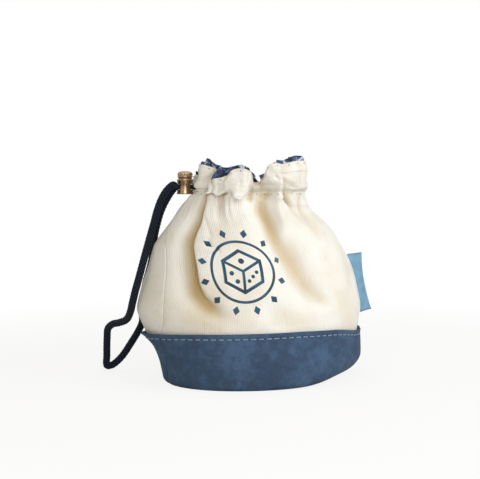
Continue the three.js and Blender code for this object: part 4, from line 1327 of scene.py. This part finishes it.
def make_world(strength):
    """Soft warm light from all round, which shows as plain white."""
    world = bpy.data.worlds.new("studio")
    bpy.context.scene.world = world
    world.use_nodes = True
    g = Nodes(world.node_tree)
    path = g.node("ShaderNodeLightPath").outputs
    seen = g.math("MAXIMUM", g.math("MAXIMUM", path["Is Camera Ray"], path["Is Glossy Ray"]),
                  path["Is Transmission Ray"])
    colour = g.colour(seen, tuple(v * strength for v in SKY), (1, 1, 1))
    back = g.filled("ShaderNodeBackground", {"Color": colour})
    g.filled("ShaderNodeOutputWorld", {0: back.outputs[0]})


def make_floor(whiteness):
    """White table that takes the shadow, and fades to plain white away from the pouch."""
    mesh = bpy.data.meshes.new("floor")
    r = FLOOR_REACH
    mesh.from_pydata([(-r, -r, 0), (r, -r, 0), (r, r, 0), (-r, r, 0)], [], [(0, 1, 2, 3)])
    floor = linked("floor", mesh)
    mat = bpy.data.materials.new("white table")
    mat.use_nodes = True
    g = Nodes(mat.node_tree)
    here = g.node("ShaderNodeTexCoord").outputs["Object"]
    far = g.filled("ShaderNodeVectorMath", {0: here}, operation="LENGTH").outputs["Value"]
    share = g.times(g.node("ShaderNodeLightPath").outputs["Is Camera Ray"], g.step(.1, .5, far, whiteness, 1))
    paper = g.filled("ShaderNodeBsdfDiffuse", {"Color": (.86, .85, .84)})
    glow = g.filled("ShaderNodeEmission", {"Color": (1, 1, 1), "Strength": 1})    # as white as the surround
    both = g.filled("ShaderNodeMixShader", {0: share, 1: paper.outputs[0], 2: glow.outputs[0]})
    g.filled("ShaderNodeOutputMaterial", {0: both.outputs[0]})
    mesh.materials.append(mat)


def make_stage(light):
    bpy.context.scene.view_settings.view_transform = "Standard"
    make_camera()
    area_lamp("key", (540, -340, 310), LAMP_SIZE, light.key, (.95, .98, 1))
    area_lamp("front", (30, -750, 330), LAMP_SIZE, light.front, (.98, .99, 1))
    area_lamp("top", (-60, 60, 700), .7, light.top, (1, .98, .95))
    make_card()
    make_world(light.sky)
    make_floor(light.floor_glow)


# Settings, operators and panel
def tone(name, text, value):
    return FloatVectorProperty(name=name, description=text, default=value, subtype="COLOR",
                               size=3, min=0, max=1)


def power(name, text, value):
    return FloatProperty(name=name, description="Power of the lamp " + text, default=value,
                         min=0, unit="POWER")


class PouchColours(bpy.types.PropertyGroup):
    canvas: tone("Canvas", "Natural canvas in full light", srgb(244, 243, 238))
    # colour of the painted shade in the canvas folds, also used for soft random blotches
    canvas_shade_and_tone: tone("Canvas in folds", "Warmer tone down in the folds", srgb(203, 178, 130))
    ink: tone("Print", "Printed emblem", srgb(24, 58, 80))
    ink_light: tone("Print, worn", "Printed emblem where it is thin", srgb(44, 90, 118))
    suede: tone("Suede", "Nubuck band and base", srgb(70, 93, 122))
    suede_light: tone("Suede, brushed", "Nubuck where the nap is brushed up", srgb(84, 110, 142))
    suede_dark: tone("Suede, shaded", "Nubuck where the nap lies down", srgb(58, 75, 98))
    suede_edge: tone("Suede edge", "Cut edge of the nubuck", srgb(60, 76, 99))
    lining: tone("Lining", "Navy ground of the lining", srgb(32, 40, 60))
    lining_blue: tone("Lining, blue", "Blue patches of the lining", srgb(78, 104, 146))
    lining_pale: tone("Lining, veins", "Pale veins of the lining", srgb(205, 216, 232))
    cord: tone("Cord", "Braided drawcord", srgb(27, 34, 46))
    label: tone("Label", "Woven label", srgb(112, 152, 180))
    brass: tone("Brass", "Cord lock", srgb(164, 138, 108))
    brass_dark: tone("Brass, tarnished", "Cord lock where it has darkened", srgb(84, 66, 50))
    thread: tone("Band thread", "Topstitching of the band", srgb(140, 165, 196))
    thread_dark: tone("Header thread", "Thread ends that show on the header", srgb(70, 82, 104))


class PouchLight(bpy.types.PropertyGroup):
    key: power("Key lamp", "at the right", 2.22)
    front: power("Front lamp", "in front", 2.3)
    top: power("Top lamp", "above", 1.3)
    sky: FloatProperty(name="Surround", description="Strength of the light from all round",
                       default=.28, min=0)
    floor_glow: FloatProperty(name="Floor whiteness", default=.86, min=0, max=1, subtype="FACTOR",
                              description="Share of plain white in the floor as the camera sees it")


class PouchMesh(bpy.types.PropertyGroup):
    columns: IntProperty(name="Columns", description="Points across the front canvas panel",
                         default=300, min=40, max=330)
    rows: IntProperty(name="Rows", description="Points up the front canvas panel's body",
                      default=108, min=20, max=140)


class POUCH_OT_stage(bpy.types.Operator):
    """Sets up the camera, the lamps, the surround and the floor"""
    bl_idname = "pouch.stage"
    bl_label = "Stage"

    def execute(self, context):
        make_stage(context.scene.pouch_light)
        return {"FINISHED"}


class POUCH_OT_cord(bpy.types.Operator):
    """Makes the drawcord and the sprung lock on it"""
    bl_idname = "pouch.cord"
    bl_label = "Drawcord and lock"

    def execute(self, context):
        c = context.scene.pouch_colours
        loop, route = make_cords(cord_finish(c))
        on_cord = make_lock(brass_finish(c), steel_finish())
        return {"FINISHED"}


class POUCH_OT_canvas(bpy.types.Operator):
    """Makes the gathered front and back canvas panels"""
    bl_idname = "pouch.canvas"
    bl_label = "Canvas"

    def execute(self, context):
        m = context.scene.pouch_mesh
        finish = canvas_finish(context.scene.pouch_colours)
        make_canvas("front", m.columns, m.rows, 42, finish)
        make_canvas("back", int(m.columns * .8), int(m.rows * .8), 34, finish)
        return {"FINISHED"}


class POUCH_OT_lining(bpy.types.Operator):
    """Makes the loose lining panels and the lining's base"""
    bl_idname = "pouch.lining"
    bl_label = "Lining"

    def execute(self, context):
        m = context.scene.pouch_mesh
        finish = lining_finish(context.scene.pouch_colours)
        make_lining("front", int(m.columns * .7), int(m.rows * .5), 36, finish)
        make_lining("back", int(m.columns * .6), int(m.rows * .5), 36, finish)
        low = BASE_T + GAP
        make_disc("lining_base_round", low, low + LINING, GAP + CANVAS, finish, "lining", "lining_base")
        return {"FINISHED"}


class POUCH_OT_suede(bpy.types.Operator):
    """Makes the suede band and base"""
    bl_idname = "pouch.suede"
    bl_label = "Suede band and base"

    def execute(self, context):
        finish = suede_finish(context.scene.pouch_colours)
        make_disc("suede_base_round", 0, BASE_T, GAP, finish, "suede", "suede_base")
        make_band("front", 330, finish)
        make_band("back", 260, finish)
        return {"FINISHED"}


class POUCH_OT_label(bpy.types.Operator):
    """Makes the bare woven label in the side seam"""
    bl_idname = "pouch.label"
    bl_label = "Label"

    def execute(self, context):
        make_label(label_finish(context.scene.pouch_colours))
        return {"FINISHED"}


class POUCH_OT_stitches(bpy.types.Operator):
    """Sews the band's topstitching and the header's rows"""
    bl_idname = "pouch.stitches"
    bl_label = "Stitches"

    def execute(self, context):
        c = context.scene.pouch_colours
        make_stitches(thread_finish("blue thread", c.thread), thread_finish("dark thread", c.thread_dark))
        return {"FINISHED"}


OPERATORS = (POUCH_OT_stage, POUCH_OT_cord, POUCH_OT_canvas, POUCH_OT_lining, POUCH_OT_suede, POUCH_OT_label,
             POUCH_OT_stitches)


class POUCH_PT_panel(bpy.types.Panel):
    """Lists the pouch's pieces in the sidebar"""
    bl_idname = "POUCH_PT_panel"
    bl_label = "Drawstring Pouch"
    bl_space_type = "VIEW_3D"
    bl_region_type = "UI"
    bl_category = "Pouch"

    def draw(self, context):
        for group in ("pouch_colours", "pouch_light", "pouch_mesh"):
            settings = getattr(context.scene, group)
            box = self.layout.box()
            for key in settings.__annotations__:
                box.prop(settings, key)
        for operator in OPERATORS:
            self.layout.operator(operator.bl_idname)


GROUPS = (("pouch_colours", PouchColours), ("pouch_light", PouchLight), ("pouch_mesh", PouchMesh))


def register():
    for name, group in GROUPS:
        bpy.utils.register_class(group)
        setattr(bpy.types.Scene, name, PointerProperty(type=group))
    for cls in (*OPERATORS, POUCH_PT_panel):
        bpy.utils.register_class(cls)


def unregister():
    for cls in (POUCH_PT_panel, *reversed(OPERATORS)):
        bpy.utils.unregister_class(cls)
    for name, group in reversed(GROUPS):
        delattr(bpy.types.Scene, name)
        bpy.utils.unregister_class(group)


def main():
    register()
    for key in ("stage", "cord", "canvas", "lining", "suede", "label", "stitches"):
        getattr(bpy.ops.pouch, key)()
    bpy.context.view_layer.update()


if __name__ == "__main__":
    main()
